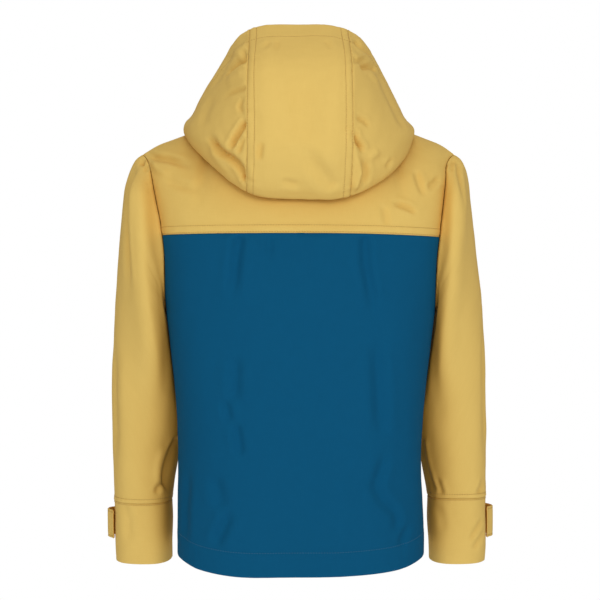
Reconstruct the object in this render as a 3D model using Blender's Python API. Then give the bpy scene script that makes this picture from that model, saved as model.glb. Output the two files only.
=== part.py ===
"""A child's anorak pullover, worn on no one: a hollow garment hanging from its shoulders.

Every panel is a wall of cloth, its outer face worked out from the garment's own sections.
Axes: +X is the wearer's left, +Y the wearer's back, +Z up. The origin lies level with the
neck points of the shoulder seams, on the middle plane. Tables are in millimetres.
"""

import math

import bmesh
import bpy
import numpy as np

MM = 0.001
STEP = 0.01  # radians to each side of a point, to find the way round a section there

# ---------------------------------------------------------------- driving sizes (mm)
CLOTH = 1.6  # thickness of the coated cotton cloth with its seam allowances
SEAM_GAP = 0.4  # kept between two panels at a seam
LONGEST_MITRE = 2.0  # depth of the rim where two panels meet at an angle, in thicknesses of cloth
LIKE_NORMALS = 0.1  # outward directions that differ by less count as one

HEM_SIDE = -563.5  # height of the hem at the side seams
HEM_BACK = -580.5  # ... at the middle of the back, which hangs lower
HEM_FRONT = -568.0
ARMPIT = -250.0
ARMPIT_SAG = 14.0  # how much lower the armpit's row of points runs at the middle of a panel
YOKE_SEAM = -158.5
NECK_HALF = 80.0
NECK_BACK = (70.0, -15.0)  # y, z of the neck seam at the middle of the back
NECK_FRONT = (-75.0, -70.0)
NECK_SQUARENESS = 2.3
NECK_DIP = 1.3  # above 1, the neck seam stays high near the shoulder and dips in the middle
MIDDLE_CLIMB, SHOULDER_CLIMB = 1.1, 0.3  # slope of a yoke where it ends at the neck and shoulder
NECK_CLIMB_X = (35.0, 95.0)  # between these the one slope turns into the other
ARMHOLE_BACK = 57.0  # how far the armhole reaches to the back and front of the arm
ARMHOLE_FRONT = -46.0

ZIP_HALF = 7.3  # half the width that the closed zip shows between the front panels
CHIN = (-90.0, -22.0)  # y, z of the top of the front edges
CUFF_SEAM = -502.0
CUFF_END = -583.5
HOOD_CLEARANCE = 4.0  # kept between the hood's lower layer and the yokes
HOOD_START, HOOD_RAMP = 0.5, 1.5  # that clearance at the neck seam, and what each row adds
TAB_HEIGHTS = (-553.0, -516.0)
TAB_THICKNESS = 2.4
SLIDER_DOWN = 11.0  # from the top of the zip to the middle of its slider
SLIDER_GAP = 0.5  # between the zip and the slider's plate
PLATE_HALF = (4.6, 6.5)  # half width and half height of the slider's plate
PLATE_THICK = 2.0
BRIDGE_HALF = (1.6, 2.9)  # of the bridge that carries the pull
BRIDGE_HOLE = 3.0
BRIDGE_THICK = 1.2
EYE_HALF = 1.6  # half height of the hole under the bridge
WELD = 0.5  # how far the bridge reaches into the plate
PULL_LENGTH = 24.0  # below its axis
PULL_HALF = (3.6, 0.7)  # half width and half thickness
CROSSBAR = 0.8  # half height of the bar that hangs in the bridge
PULL_SLOT = (2.1, 6.2)  # half width of the slot below the crossbar, and how far down it ends

# The shoulder seam, from the neck out to the sleeve, on the plane y = 0.
SHOULDER = (
    # x, height
    (NECK_HALF, 0.0),
    (120.0, -14.0),
    (160.0, -29.0),
    (190.0, -41.5),
    (204.0, -50.5),
)

# Closed sections of the body, from the hem up. Depths are measured from the widest line.
TORSO = (
    # height, half_width, widest_y, back_depth, front_depth
    (-585.0, 158.5, 10.0, 87.0, 101.0),
    (-520.0, 157.5, 10.0, 88.0, 103.0),
    (-430.0, 156.0, 11.0, 89.0, 105.0),
    (-370.0, 159.5, 12.0, 91.0, 108.0),
    (-307.0, 166.0, 14.0, 94.0, 112.0),
    (-250.0, 172.5, 15.0, 97.0, 114.0),
    (-200.0, 177.5, 16.0, 98.0, 115.0),
    (-158.5, 180.5, 17.0, 97.0, 114.0),
)
BACK_SQUARENESS = 2.5  # exponent of the section's back half; 2 is an ellipse
FRONT_SQUARENESS = 2.15

# Sections of the sleeve: where its outer and inner sides are, and its depth fore and aft.
SLEEVE = (
    # outer_x, outer_z, inner_x, inner_z, centre_y, half_depth, inner_back
    (204.0, -50.5, 172.5, -250.0, 6.0, 52.0, 2.2),
    (216.5, -62.0, 173.0, -252.5, 4.0, 56.0, 2.2),
    (226.0, -90.0, 172.0, -256.0, 1.0, 59.0, 2.2),
    (231.5, -126.0, 169.0, -263.0, -4.0, 60.0, 2.2),
    (236.0, -166.0, 165.0, -273.0, -9.0, 60.0, 2.2),
    (240.0, -210.0, 160.0, -287.0, -15.0, 59.0, 2.1),
    (243.5, -256.0, 156.0, -307.0, -21.0, 57.0, 1.85),
    (246.0, -304.0, 152.0, -334.0, -27.0, 55.0, 1.6),
    (248.0, -352.0, 150.0, -367.0, -32.0, 52.0, 1.5),
    (248.0, -400.0, 152.0, -405.0, -36.0, 48.0, 1.6),
    (248.0, -452.0, 162.0, -452.0, -39.0, 45.0, 1.9),
    (247.0, CUFF_SEAM, 170.0, CUFF_SEAM, -41.0, 42.0, 2.2),
)
CUFF = (
    # outer_x, outer_z, inner_x, inner_z, centre_y, half_depth, inner_back
    (247.0, CUFF_SEAM, 170.0, CUFF_SEAM, -41.0, 42.0, 2.2),
    (247.0, -530.0, 169.5, -530.0, -42.0, 41.0, 2.2),
    (246.5, -557.0, 171.0, -557.0, -42.0, 40.5, 2.2),
    (245.0, CUFF_END, 172.0, CUFF_END, -42.0, 40.0, 2.2),
)
# The cuff's tab: place round the cuff, in degrees from its outer side towards the back, and
# how far the tab's outer face stands off the cuff there.
TAB = (
    # turn, stand_off
    (-100.0, 3.0),
    (-82.0, 3.0),
    (-66.0, 3.0),
    (-50.0, 3.2),
    (-36.0, 4.0),
    (-25.0, 6.3),
    (-16.0, 9.0),
    (-8.0, 10.2),
    (0.0, 9.2),
    (7.0, 5.6),
    (12.0, 3.2),
    (18.0, 3.0),
)
SLEEVE_SQUARENESS = 2.2
SLEEVE_CLEARANCE = 3.5  # kept between the sleeve and the side of the body
CLEARANCE_RAMP = 3.2  # how fast that gap opens below the armhole, for each row of the table
ARMHOLE_FADE = 6.0  # rows of the table over which the armhole's own outline fades out

# Lines that run round the hood, from just above the neck seam out to the edge of the face
# opening. A station is the share of the way round: -1 and 1 are the front edges at the zip,
# 0 the middle of the back, 0.2 a seam of the centre panel and 0.53 the left shoulder seam.
HOOD_ROLL = (
    # station, x, y, z
    (-0.77, -65, -58, -32),
    (-0.53, -88, 0, 17),
    (-0.36, -80, 34, 14),
    (-0.2, -60, 64, 9),
    (0.0, 0, 84, 6),
    (0.2, 60, 64, 9),
    (0.36, 80, 34, 14),
    (0.53, 88, 0, 17),
    (0.77, 65, -58, -32),
)
HOOD_UNDER = (
    # station, x, y, z
    (-0.77, -82, -59, -25),
    (-0.53, -120, 6, -4),
    (-0.36, -102, 66, -34),
    (-0.2, -61, 99, -55),
    (0.0, 0, 108, -60),
    (0.2, 62, 99, -55),
    (0.36, 100, 66, -34),
    (0.53, 120, 6, -4),
    (0.77, 82, -59, -25),
)
HOOD_FOLD = (
    # station, x, y, z
    (-0.77, -99, -58, -19),
    (-0.53, -140, 10, -22),
    (-0.36, -118, 84, -78),
    (-0.2, -61, 118, -114),
    (0.0, 0, 121, -119),
    (0.2, 66, 118, -109),
    (0.36, 110, 88, -74),
    (0.53, 148, 11, -24),
    (0.77, 101, -58, -19),
)
HOOD_BULGE = (
    # station, x, y, z
    (-0.77, -108, -56, -9),
    (-0.53, -146, 15, -14),
    (-0.36, -126, 94, -44),
    (-0.2, -63, 153, -62),
    (0.0, 0, 160, -64),
    (0.2, 64, 153, -62),
    (0.36, 123, 98, -42),
    (0.53, 153, 15, -13),
    (0.77, 111, -56, -9),
)
HOOD_UPPER = (
    # station, x, y, z
    (-0.77, -105, -55, -1),
    (-0.53, -134, 13, 0),
    (-0.36, -107, 72, 28),
    (-0.2, -63, 142, 32),
    (0.0, 0, 149, 34),
    (0.2, 64, 142, 32),
    (0.36, 112, 72, 28),
    (0.53, 143, 12, 0),
    (0.77, 109, -55, -1),
)
HOOD_EDGE = (
    # station, x, y, z
    (-0.77, -101, -54, 5),
    (-0.53, -122, 10, 15),
    (-0.36, -89, 48, 76),
    (-0.2, -62, 75, 96.5),
    (0.0, 0, 80, 102),
    (0.2, 61, 75, 97),
    (0.36, 89, 50, 76),
    (0.53, 132, 8, 12),
    (0.77, 106, -54, 5),
)
HOOD_LINES = (HOOD_ROLL, HOOD_UNDER, HOOD_FOLD, HOOD_BULGE, HOOD_UPPER, HOOD_EDGE)
HOOD_RISE = (0.0, 0.08, 0.22, 0.38, 0.54, 0.77, 1.0)  # share of the way up for each line

# The garment hangs a little askew: round each of these places the cloth is moved sideways
# and up, less and less as far as its reach.
ASKEW = (
    # x, z, reach_x, reach_z, move_x, move_z
    (-232, -130, 36, 110, 8.5, 0.0),
    (-238, -330, 40, 110, 4.5, 0.0),
    (0, -455, 190, 60, 2.8, 0.0),
    (-190, -165, 90, 40, 0.0, -2.5),
    (75, -578, 45, 30, 0.0, -2.0),
    (-208, -500, 70, 40, 0.0, 3.5),
    (130, 25, 40, 45, -4.5, 0.0),
    (-130, 25, 40, 45, 4.0, 0.0),
    (0, 105, 100, 35, 4.0, 0.0),
    (184, -105, 28, 50, 6.0, 0.0),
    (-182, -125, 32, 62, -5.0, 0.0),
    (-192, -62, 16, 20, 4.0, 0.0),
    (156, -580, 18, 14, -2.0, 3.5),
    (-156, -580, 18, 14, 2.0, 2.0),
    (208, -510, 70, 45, 0.0, -3.5),
)

# Folds of the cloth: a trough from one place to another, as seen from behind.
HOOD_FOLDS = (
    # x_from, z_from, x_to, z_to, width, depth
    (119, -35, 88, -67, 11, 4.0),
    (88, -67, 68, -88, 10, 3.5),
    (67, -30, 83, -61, 9, 2.5),
    (66, 52, 82, 38, 10, 3.0),
    (-63, 57, -90, 31, 10, 2.5),
    (-68, -38, -76, -68, 10, 3.0),
    (-6, -66, -39, -108, 14, 3.0),
)
BODY_FOLDS = (
    # x_from, z_from, x_to, z_to, width, depth
    (75, -180, 75, -235, 14, 2.0),
    (76, -330, 80, -440, 16, 3.0),
    (108, -455, 104, -525, 24, 3.0),
    (-83, -180, -86, -240, 14, 2.0),
    (-98, -405, -101, -499, 16, 3.0),
)
SLEEVE_FOLDS = (
    # x_from, z_from, x_to, z_to, width, depth
    (213, -80, 215, -230, 9, 2.5),
)

# ---------------------------------------------------------------- grid counts
SIDE_ROWS = 9  # hem to armpit
ARMHOLE_ROWS = 6  # armpit to yoke seam
YOKE_ROWS = 7  # yoke seam to shoulder and neck
SHOULDER_CELLS = 6
BACK_NECK_X = (0.0, 20.0, 40.0, 60.0, 66.5, 72.0, 76.5, 79.2, 80.0)  # the back neckline's points
STRIP_NECK_X = 60.0  # where the hood's centre panel ends on it
FRONT_NECK_CELLS = 7
NECK_SHARE = 0.58  # share of a panel's columns, from its middle, that run up to the neck
ZIP_ROWS = 4  # rows of the front body that the zip runs down past the yoke seam
SLEEVE_ROWS = 17
CUFF_ROWS = 4
HOOD_ROWS = 26
CELL_SPOTS = 4  # places looked at along each side of a yoke's cell, to keep the hood off it
LIFTS = 3  # times that the hood is looked at and moved off the yokes
TAB_ROWS = 2

# Colour, then roughness and, for metal, how metallic it is.
CLOTHS = {
    "yellow": ((0.70, 0.47, 0.12), 0.75),
    "blue": ((0.008, 0.085, 0.18), 0.7),
    "tape": ((0.01, 0.06, 0.13), 0.8),
}
PAINTED_METAL = ((0.02, 0.025, 0.03), 0.4, 0.6)


# ---------------------------------------------------------------- curves and sections
def spline(knots, values, at):
    """A smooth curve through values at knots, read at the places in at."""
    knots = np.asarray(knots, float)
    values = np.asarray(values, float).reshape(len(knots), -1)
    at = np.atleast_1d(np.asarray(at, float))
    steps = np.diff(knots)[:, None]
    slopes = np.diff(values, axis=0) / steps
    tangents = np.empty_like(values)
    tangents[0], tangents[-1] = slopes[0], slopes[-1]
    before, after = steps[:-1], steps[1:]
    tangents[1:-1] = (slopes[:-1] * after + slopes[1:] * before) / (before + after)
    i = np.clip(np.searchsorted(knots, at, side="right") - 1, 0, len(knots) - 2)
    width = steps[i]
    t = (at[:, None] - knots[i][:, None]) / width
    return (
        (2 * t**3 - 3 * t**2 + 1) * values[i]
        + (t**3 - 2 * t**2 + t) * width * tangents[i]
        + (3 * t**2 - 2 * t**3) * values[i + 1]
        + (t**3 - t**2) * width * tangents[i + 1]
    )


def torso_sizes(height):
    """Half width, widest line, back depth and front depth of the body at these heights."""
    rows = np.array(TORSO)
    return spline(rows[:, 0], rows[:, 1:], np.minimum(height, rows[-1, 0])).T


def torso_point(angle, height, front):
    """A point of the body's section, by its angle from the middle of the back or front to the side."""
    half_width, widest_y, back_depth, front_depth = torso_sizes(height)
    power = 2 / (FRONT_SQUARENESS if front else BACK_SQUARENESS)
    depth = -front_depth if front else back_depth
    x = half_width * np.sign(angle) * np.abs(np.sin(angle)) ** power
    y = widest_y + depth * np.abs(np.cos(angle)) ** power
    return np.stack([x, y, height], axis=-1)


def angle_of_x(x, height, front):
    """The section angle at which the body is x from the middle plane."""
    half_width = torso_sizes(height)[0]
    power = (FRONT_SQUARENESS if front else BACK_SQUARENESS) / 2
    return np.arcsin(np.clip(x / half_width, 0, 1) ** power)


def angle_of_y(y, height, front):
    """The section angle at which the body's wall is at y."""
    _, widest_y, back_depth, front_depth = torso_sizes(height)
    depth = -front_depth if front else back_depth
    power = (FRONT_SQUARENESS if front else BACK_SQUARENESS) / 2
    return np.arccos(np.clip((y - widest_y) / depth, 0, 1) ** power)


def edge_rows(front):
    """Height and section angle of the panel's side edge in each row: side seam, then armhole."""
    side = np.linspace(HEM_SIDE, ARMPIT, SIDE_ROWS + 1)
    turn = np.linspace(0, math.pi / 2, ARMHOLE_ROWS + 1)[1:]
    armhole = YOKE_SEAM - (YOKE_SEAM - ARMPIT) * np.cos(turn)
    reach = ARMHOLE_FRONT if front else ARMHOLE_BACK
    widest = torso_sizes(armhole)[1]
    angle = angle_of_y(widest + (reach - widest) * np.sin(turn), armhole, front)
    return np.concatenate([side, armhole]), np.concatenate([np.full(len(side), math.pi / 2), angle])


def centre_rows(front):
    """Height of each row at the middle of the panel."""
    hem = HEM_FRONT if front else HEM_BACK
    level = ARMPIT - ARMPIT_SAG
    side, armhole = np.linspace(hem, level, SIDE_ROWS + 1), np.linspace(level, YOKE_SEAM, ARMHOLE_ROWS + 1)
    return np.concatenate([side, armhole[1:]])


def neck_point(x, front):
    """A point of the neck seam, from the middle of the back or front out to the shoulder seam."""
    end_y, end_z = NECK_FRONT if front else NECK_BACK
    share = (1 - np.clip(np.abs(x) / NECK_HALF, 0, 1) ** NECK_SQUARENESS) ** (1 / NECK_SQUARENESS)
    return np.stack([x, end_y * share, end_z * share**NECK_DIP], axis=-1)


def shoulder_points():
    """The shoulder seam from the neck out to the sleeve, neck point left out."""
    x = np.linspace(NECK_HALF, SHOULDER[-1][0], SHOULDER_CELLS + 1)[1:]
    height = spline([row[0] for row in SHOULDER], [row[1] for row in SHOULDER], x)[:, 0]
    return np.stack([x, 0 * x, height], axis=-1)


def half_columns(front):
    """Share of the way from the middle to the side edge for each column of half a panel."""
    cells = FRONT_NECK_CELLS if front else len(BACK_NECK_X) - 1
    neck, shoulder = np.linspace(0, NECK_SHARE, cells + 1), np.linspace(NECK_SHARE, 1, SHOULDER_CELLS + 1)
    return np.concatenate([neck, shoulder[1:]])


def half_body(front):
    """The left half of a body panel, up to the yoke seam: rows from the hem, columns from the middle."""
    heights, angles = edge_rows(front)
    middle = centre_rows(front)
    share = half_columns(front)
    rows = []
    for edge_z, edge_angle, middle_z in zip(heights, angles, middle):
        z = middle_z + (edge_z - middle_z) * share**2
        first = angle_of_x(np.full_like(z, ZIP_HALF), z, True) if front else 0
        rows.append(torso_point(first + (edge_angle - first) * share, z, front))
    return np.array(rows)


def half_yoke(front, lower):
    """Half of a yoke: each column bends from the yoke seam over to the shoulder seam or the neck."""
    if front:
        turn = np.linspace(0, math.pi / 2, FRONT_NECK_CELLS + 1)
        neck_x = ZIP_HALF + (NECK_HALF - ZIP_HALF) * np.sin(turn)
    else:
        neck_x = np.array(BACK_NECK_X)
    upper = np.concatenate([neck_point(neck_x, front), shoulder_points()])
    bottom = lower[-1]
    rise = bottom - lower[-2]
    rise /= np.linalg.norm(rise, axis=-1, keepdims=True)
    reach = np.linalg.norm(upper - bottom, axis=-1, keepdims=True)
    # At the shoulder the cloth lies nearly level; towards the middle of the neck it still climbs.
    sideways = np.clip((upper[:, 0] - NECK_CLIMB_X[0]) / (NECK_CLIMB_X[1] - NECK_CLIMB_X[0]), 0, 1)
    climb = MIDDLE_CLIMB + (SHOULDER_CLIMB - MIDDLE_CLIMB) * sideways
    arrive = upper - bottom
    arrive[:, 2] = np.hypot(arrive[:, 0], arrive[:, 1]) * climb
    arrive /= np.linalg.norm(arrive, axis=-1, keepdims=True)
    rows = []
    for s in np.linspace(0, 1, YOKE_ROWS + 1):
        rows.append(
            (2 * s**3 - 3 * s**2 + 1) * bottom
            + (s**3 - 2 * s**2 + s) * reach * rise
            + (3 * s**2 - 2 * s**3) * upper
            + (s**3 - s**2) * reach * arrive
        )
    return np.array(rows)


def mirrored(half):
    """The same panel on the wearer's right."""
    return half * np.array([-1, 1, 1])


def both_halves(half):
    """A whole panel from its left half, columns running from the wearer's right to the left."""
    right = mirrored(half)[:, ::-1]
    joined = right[:, :-1] if abs(half[0, 0, 0]) < 1e-9 else right
    return np.concatenate([joined, half], axis=1)


def armhole_loop(back_body, back_yoke, front_body, front_yoke):
    """The armhole's points from the shoulder down the back to the armpit and up the front."""
    back = np.concatenate([back_yoke[::-1, -1], back_body[-2 : SIDE_ROWS - 1 : -1, -1]])
    front = np.concatenate([front_body[SIDE_ROWS + 1 :, -1], front_yoke[1:-1, -1]])
    return np.concatenate([back, front]), len(back) - 1


def sleeve_ring(sizes, turn):
    """A ring of the sleeve; turn is 0 on the outer side and runs over the back.

    The last of its sizes, inner_back, is how square its inner back quarter is.
    """
    outer_x, outer_z, inner_x, inner_z, centre_y, half_depth, inner_back = sizes
    power = 2 / np.where((np.cos(turn) < 0) & (np.sin(turn) > 0), inner_back, SLEEVE_SQUARENESS)
    along = np.sign(np.cos(turn)) * np.abs(np.cos(turn)) ** power
    across = np.sign(np.sin(turn)) * np.abs(np.sin(turn)) ** power
    x = (outer_x + inner_x) / 2 + (outer_x - inner_x) / 2 * along
    z = (outer_z + inner_z) / 2 + (outer_z - inner_z) / 2 * along
    return np.stack([x, centre_y + half_depth * across, z], axis=-1)


def kept_clear(points, clearance):
    """Sleeve points pushed out where they would touch the side of the body."""
    x, y, z = points.T
    half_width, widest_y, back_depth, front_depth = torso_sizes(z)
    behind = y > widest_y
    depth = np.where(behind, back_depth, front_depth)
    power = np.where(behind, BACK_SQUARENESS, FRONT_SQUARENESS)
    share = np.clip(np.abs(y - widest_y) / depth, 0, 1)
    wall = half_width * (1 - share**power) ** (1 / power)
    return np.stack([np.maximum(x, wall + clearance), y, z], axis=-1)


def loop_turns(loop, lowest):
    """The sleeve angle of each armhole point, by its share of the way round."""
    closed = np.concatenate([loop, loop[:1]])
    way = np.concatenate([[0], np.cumsum(np.linalg.norm(np.diff(closed, axis=0), axis=1))])
    down = way[: lowest + 1] / way[lowest] * math.pi
    up = math.pi + (way[lowest + 1 : -1] - way[lowest]) / (way[-1] - way[lowest]) * math.pi
    return np.concatenate([down, up])


def sleeve_rows(loop, lowest):
    """The sleeve from the armhole to the cuff seam, and the cuff below it, each as rows of rings."""
    turns = loop_turns(loop, lowest)
    table = np.array(SLEEVE)
    places = np.linspace(0, len(table) - 1, SLEEVE_ROWS + 1)
    misfit = loop - sleeve_ring(table[0], turns)
    rows = []
    for place, sizes in zip(places, spline(np.arange(len(table)), table, places)):
        ring = sleeve_ring(sizes, turns) + misfit * max(0.0, 1 - place / ARMHOLE_FADE) ** 2
        rows.append(kept_clear(ring, min(SLEEVE_CLEARANCE, CLEARANCE_RAMP * place)) if place else loop)
    table = np.array(CUFF)
    places = np.linspace(0, len(table) - 1, CUFF_ROWS + 1)[1:]
    cuff = [rows[-1]] + [sleeve_ring(s, turns) for s in spline(np.arange(len(table)), table, places)]
    return np.array(rows), np.array(cuff)


def hood_grid(neck):
    """The hood from its neck seam points, which run from the right front edge to the left one."""
    stations = np.linspace(-1, 1, len(neck))
    front_edge = np.array(HOOD_RISE)[1:, None] * (np.array(CHIN) - np.array(NECK_FRONT))
    lines = [neck]
    for line, (forward, up) in zip(HOOD_LINES, front_edge):
        ends = neck[[0, -1]] + (0, forward, up)
        table = np.array([(-1, *ends[0]), *line, (1, *ends[1])])
        lines.append(spline(table[:, 0], table[:, 1:], stations))
    lines = np.array(lines)
    rise = np.linspace(0, 1, HOOD_ROWS + 1)
    return np.stack([spline(HOOD_RISE, lines[:, k], rise) for k in range(len(neck))], axis=1)


def askew(points):
    """The points where they hang, a little off the even shape."""
    moved = points.copy()
    for x, z, reach_x, reach_z, move_x, move_z in ASKEW:
        away = ((points[..., 0] - x) / reach_x) ** 2 + ((points[..., 2] - z) / reach_z) ** 2
        moved += np.exp(-away)[..., None] * np.array([move_x, 0, move_z])
    return moved


def folded(grid, folds, outwards):
    """The grid with its folds pressed in where it faces backwards. Its border stays as it is."""
    away = np.gradient(grid, axis=1)
    up = np.gradient(grid, axis=0)
    facing = np.cross(away, up)
    facing /= np.maximum(np.linalg.norm(facing, axis=-1, keepdims=True), 1e-9)
    facing *= outwards
    depth = np.zeros(grid.shape[:2])
    for x_from, z_from, x_to, z_to, width, press in folds:
        start, line = np.array([x_from, z_from]), np.array([x_to - x_from, z_to - z_from])
        beside = grid[..., ::2] - start
        share = np.clip(beside @ line / (line @ line), 0, 1)
        gap = np.linalg.norm(beside - share[..., None] * line, axis=-1)
        depth += press * np.exp(-((gap / width) ** 2))
    depth[[0, -1]] = 0
    depth[:, [0, -1]] = 0
    return grid - (depth * np.clip(2 * facing[..., 1], 0, 1))[..., None] * facing


# ---------------------------------------------------------------- cloth walls
class Panel:
    """A piece of cloth: a grid of points on its outer face, rows by columns."""

    def __init__(self, name, grid, colour, round_about=False, missing=(), thickness=CLOTH):
        self.name = name
        self.grid = np.array(grid, float)
        self.colour = colour
        self.round_about = round_about
        self.cells = np.ones((len(grid) - 1, grid.shape[1] - (0 if round_about else 1)), bool)
        for row, column in missing:
            self.cells[row, column] = False
        self.normals = self.face_normals()
        self.walls = -thickness * self.normals
        self.pull = np.zeros_like(self.grid)

    def corners(self, i, j):
        """Grid indices of a cell's corners, in order round it."""
        k = (j + 1) % self.grid.shape[1]
        return (i, j), (i, k), (i + 1, k), (i + 1, j)

    def face_normals(self):
        """The outward direction at each point, from the cells round it."""
        total = np.zeros_like(self.grid)
        for i, j in np.argwhere(self.cells):
            a, b, c, d = self.corners(i, j)
            way = np.cross(self.grid[c] - self.grid[a], self.grid[d] - self.grid[b])
            for corner in (a, b, c, d):
                total[corner] += way
        length = np.linalg.norm(total, axis=-1, keepdims=True)
        return total / np.maximum(length, 1e-12)

    def border(self):
        """The edges that only one cell has, each with the direction into the cloth."""
        found = {}
        for i, j in np.argwhere(self.cells):
            a, b, c, d = self.corners(i, j)
            middle = (self.grid[a] + self.grid[b] + self.grid[c] + self.grid[d]) / 4
            for edge in ((a, b), (b, c), (c, d), (d, a)):
                key = frozenset(edge)
                found[key] = None if key in found else (edge, middle)
        for value in found.values():
            if value:
                (p, q), middle = value
                along = self.grid[q] - self.grid[p]
                along /= np.linalg.norm(along)
                inward = middle - self.grid[p]
                inward -= along * (inward @ along)
                yield p, q, inward / np.linalg.norm(inward)


def key_of(point):
    """A name for a place, the same for every panel that has a point there."""
    return tuple(np.round(point, 3))


def join_seams(panels):
    """Gives panels that meet the same wall direction at their seam, and parts them there."""
    corners, edges = {}, {}
    for number, panel in enumerate(panels):
        for p, q, way in panel.border():
            keys = key_of(panel.grid[p]), key_of(panel.grid[q])
            edges.setdefault(frozenset(keys), []).append((number, p, q, way))
            for key, at in zip(keys, (p, q)):
                corners.setdefault(key, {})[number] = at
    for owners in corners.values():
        if len(owners) < 2:
            continue
        # The mitre lies one thickness of cloth inside every panel's outer face.
        own = np.array([panels[n].normals[at] for n, at in owners.items()])
        mitre = np.linalg.lstsq(own, np.full(len(own), -CLOTH), rcond=LIKE_NORMALS)[0]
        mitre *= min(1, LONGEST_MITRE * CLOTH / np.linalg.norm(mitre))
        for n, at in owners.items():
            panels[n].walls[at] = mitre
    # Each panel draws back along its own cloth and away from its neighbour's.
    drawn = {}
    for sharing in edges.values():
        if len(sharing) == 2:
            for own, other in (sharing, sharing[::-1]):
                way = own[3] - other[3]
                way /= max(np.linalg.norm(way), 1e-9)
                for at in own[1:3]:
                    drawn.setdefault((own[0], at), []).append(way)
    for (n, at), ways in drawn.items():
        total = np.sum(ways, axis=0)
        if len(ways) > 1:
            total /= max(1 + float(ways[0] @ ways[1]), 0.4)
        panels[n].pull[at] = total * SEAM_GAP / 2


def material(name, colour, roughness, metallic=0.0):
    """A plain Principled material."""
    made = bpy.data.materials.new(name)
    made.use_nodes = True
    shader = made.node_tree.nodes["Principled BSDF"]
    shader.inputs["Base Color"].default_value = (*colour, 1)
    shader.inputs["Roughness"].default_value = roughness
    shader.inputs["Metallic"].default_value = metallic
    return made


def cloth_wall(panel, collection):
    """The panel as a closed solid: outer face, inner face and the rim, which is mitred at seams."""
    outer = (panel.grid + panel.pull) * MM
    inner = outer + panel.walls * MM
    mesh = bmesh.new()
    made = {}

    def vertex(side, at):
        if (side, at) not in made:
            made[side, at] = mesh.verts.new((outer, inner)[side][at])
        return made[side, at]

    for i, j in np.argwhere(panel.cells):
        a, b, c, d = panel.corners(i, j)
        mesh.faces.new([vertex(0, at) for at in (a, b, c, d)])
        mesh.faces.new([vertex(1, at) for at in (a, d, c, b)])
    for p, q, _ in panel.border():
        # Both panels at a seam split the rim along the same diagonal, so their rims stay parallel.
        if key_of(panel.grid[p]) < key_of(panel.grid[q]):
            halves = ((0, q), (0, p), (1, q)), ((0, p), (1, p), (1, q))
        else:
            halves = ((0, q), (0, p), (1, p)), ((0, q), (1, p), (1, q))
        for half in halves:
            mesh.faces.new([vertex(*corner) for corner in half])
    data = bpy.data.meshes.new(panel.name)
    mesh.to_mesh(data)
    mesh.free()
    data.shade_smooth()
    data.set_sharp_from_angle(angle=math.radians(50))
    data.materials.append(material(panel.name, *CLOTHS[panel.colour]))
    collection.objects.link(bpy.data.objects.new(panel.name, data))


def lifted(points, ground, clearance):
    """Points moved out where they are nearer than the clearance to the ground panels' outer face."""
    spots, ways = [], []
    for panel in ground:
        for u, v in np.ndindex(CELL_SPOTS, CELL_SPOTS):
            up, across = u / CELL_SPOTS, v / CELL_SPOTS
            for source, found in ((panel.grid, spots), (panel.normals, ways)):
                near = source[:-1, :-1] * (1 - up) + source[1:, :-1] * up
                far = source[:-1, 1:] * (1 - up) + source[1:, 1:] * up
                found.append((near * (1 - across) + far * across).reshape(-1, 3))
    spots, ways = np.concatenate(spots), np.concatenate(ways)
    moved = points.reshape(-1, 3).copy()
    wanted = np.broadcast_to(clearance, points.shape[:-1]).ravel()
    for _ in range(LIFTS):
        for k, point in enumerate(moved):
            nearest = np.argmin(np.sum((spots - point) ** 2, axis=1))
            short = wanted[k] - (point - spots[nearest]) @ ways[nearest]
            if short > 0:
                moved[k] = point + short * ways[nearest]
    return moved.reshape(points.shape)


def tab_grid():
    """The cuff tab's outer face: it lies on the cuff's front and loops out at the outer side."""
    table = np.array(CUFF)
    rows = []
    for height in np.linspace(*TAB_HEIGHTS, TAB_ROWS + 1):
        sizes = spline(-table[:, 1], table, [-height])[0]
        turns = np.radians([row[0] for row in TAB])
        out = np.array([row[1] for row in TAB])
        along = sleeve_ring(sizes, turns + STEP) - sleeve_ring(sizes, turns - STEP)
        along /= np.linalg.norm(along, axis=1, keepdims=True)
        outward = np.stack([along[:, 1], -along[:, 0], np.zeros(len(TAB))], axis=1)
        rows.append(sleeve_ring(sizes, turns) + out[:, None] * outward)
    return np.array(rows)


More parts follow.
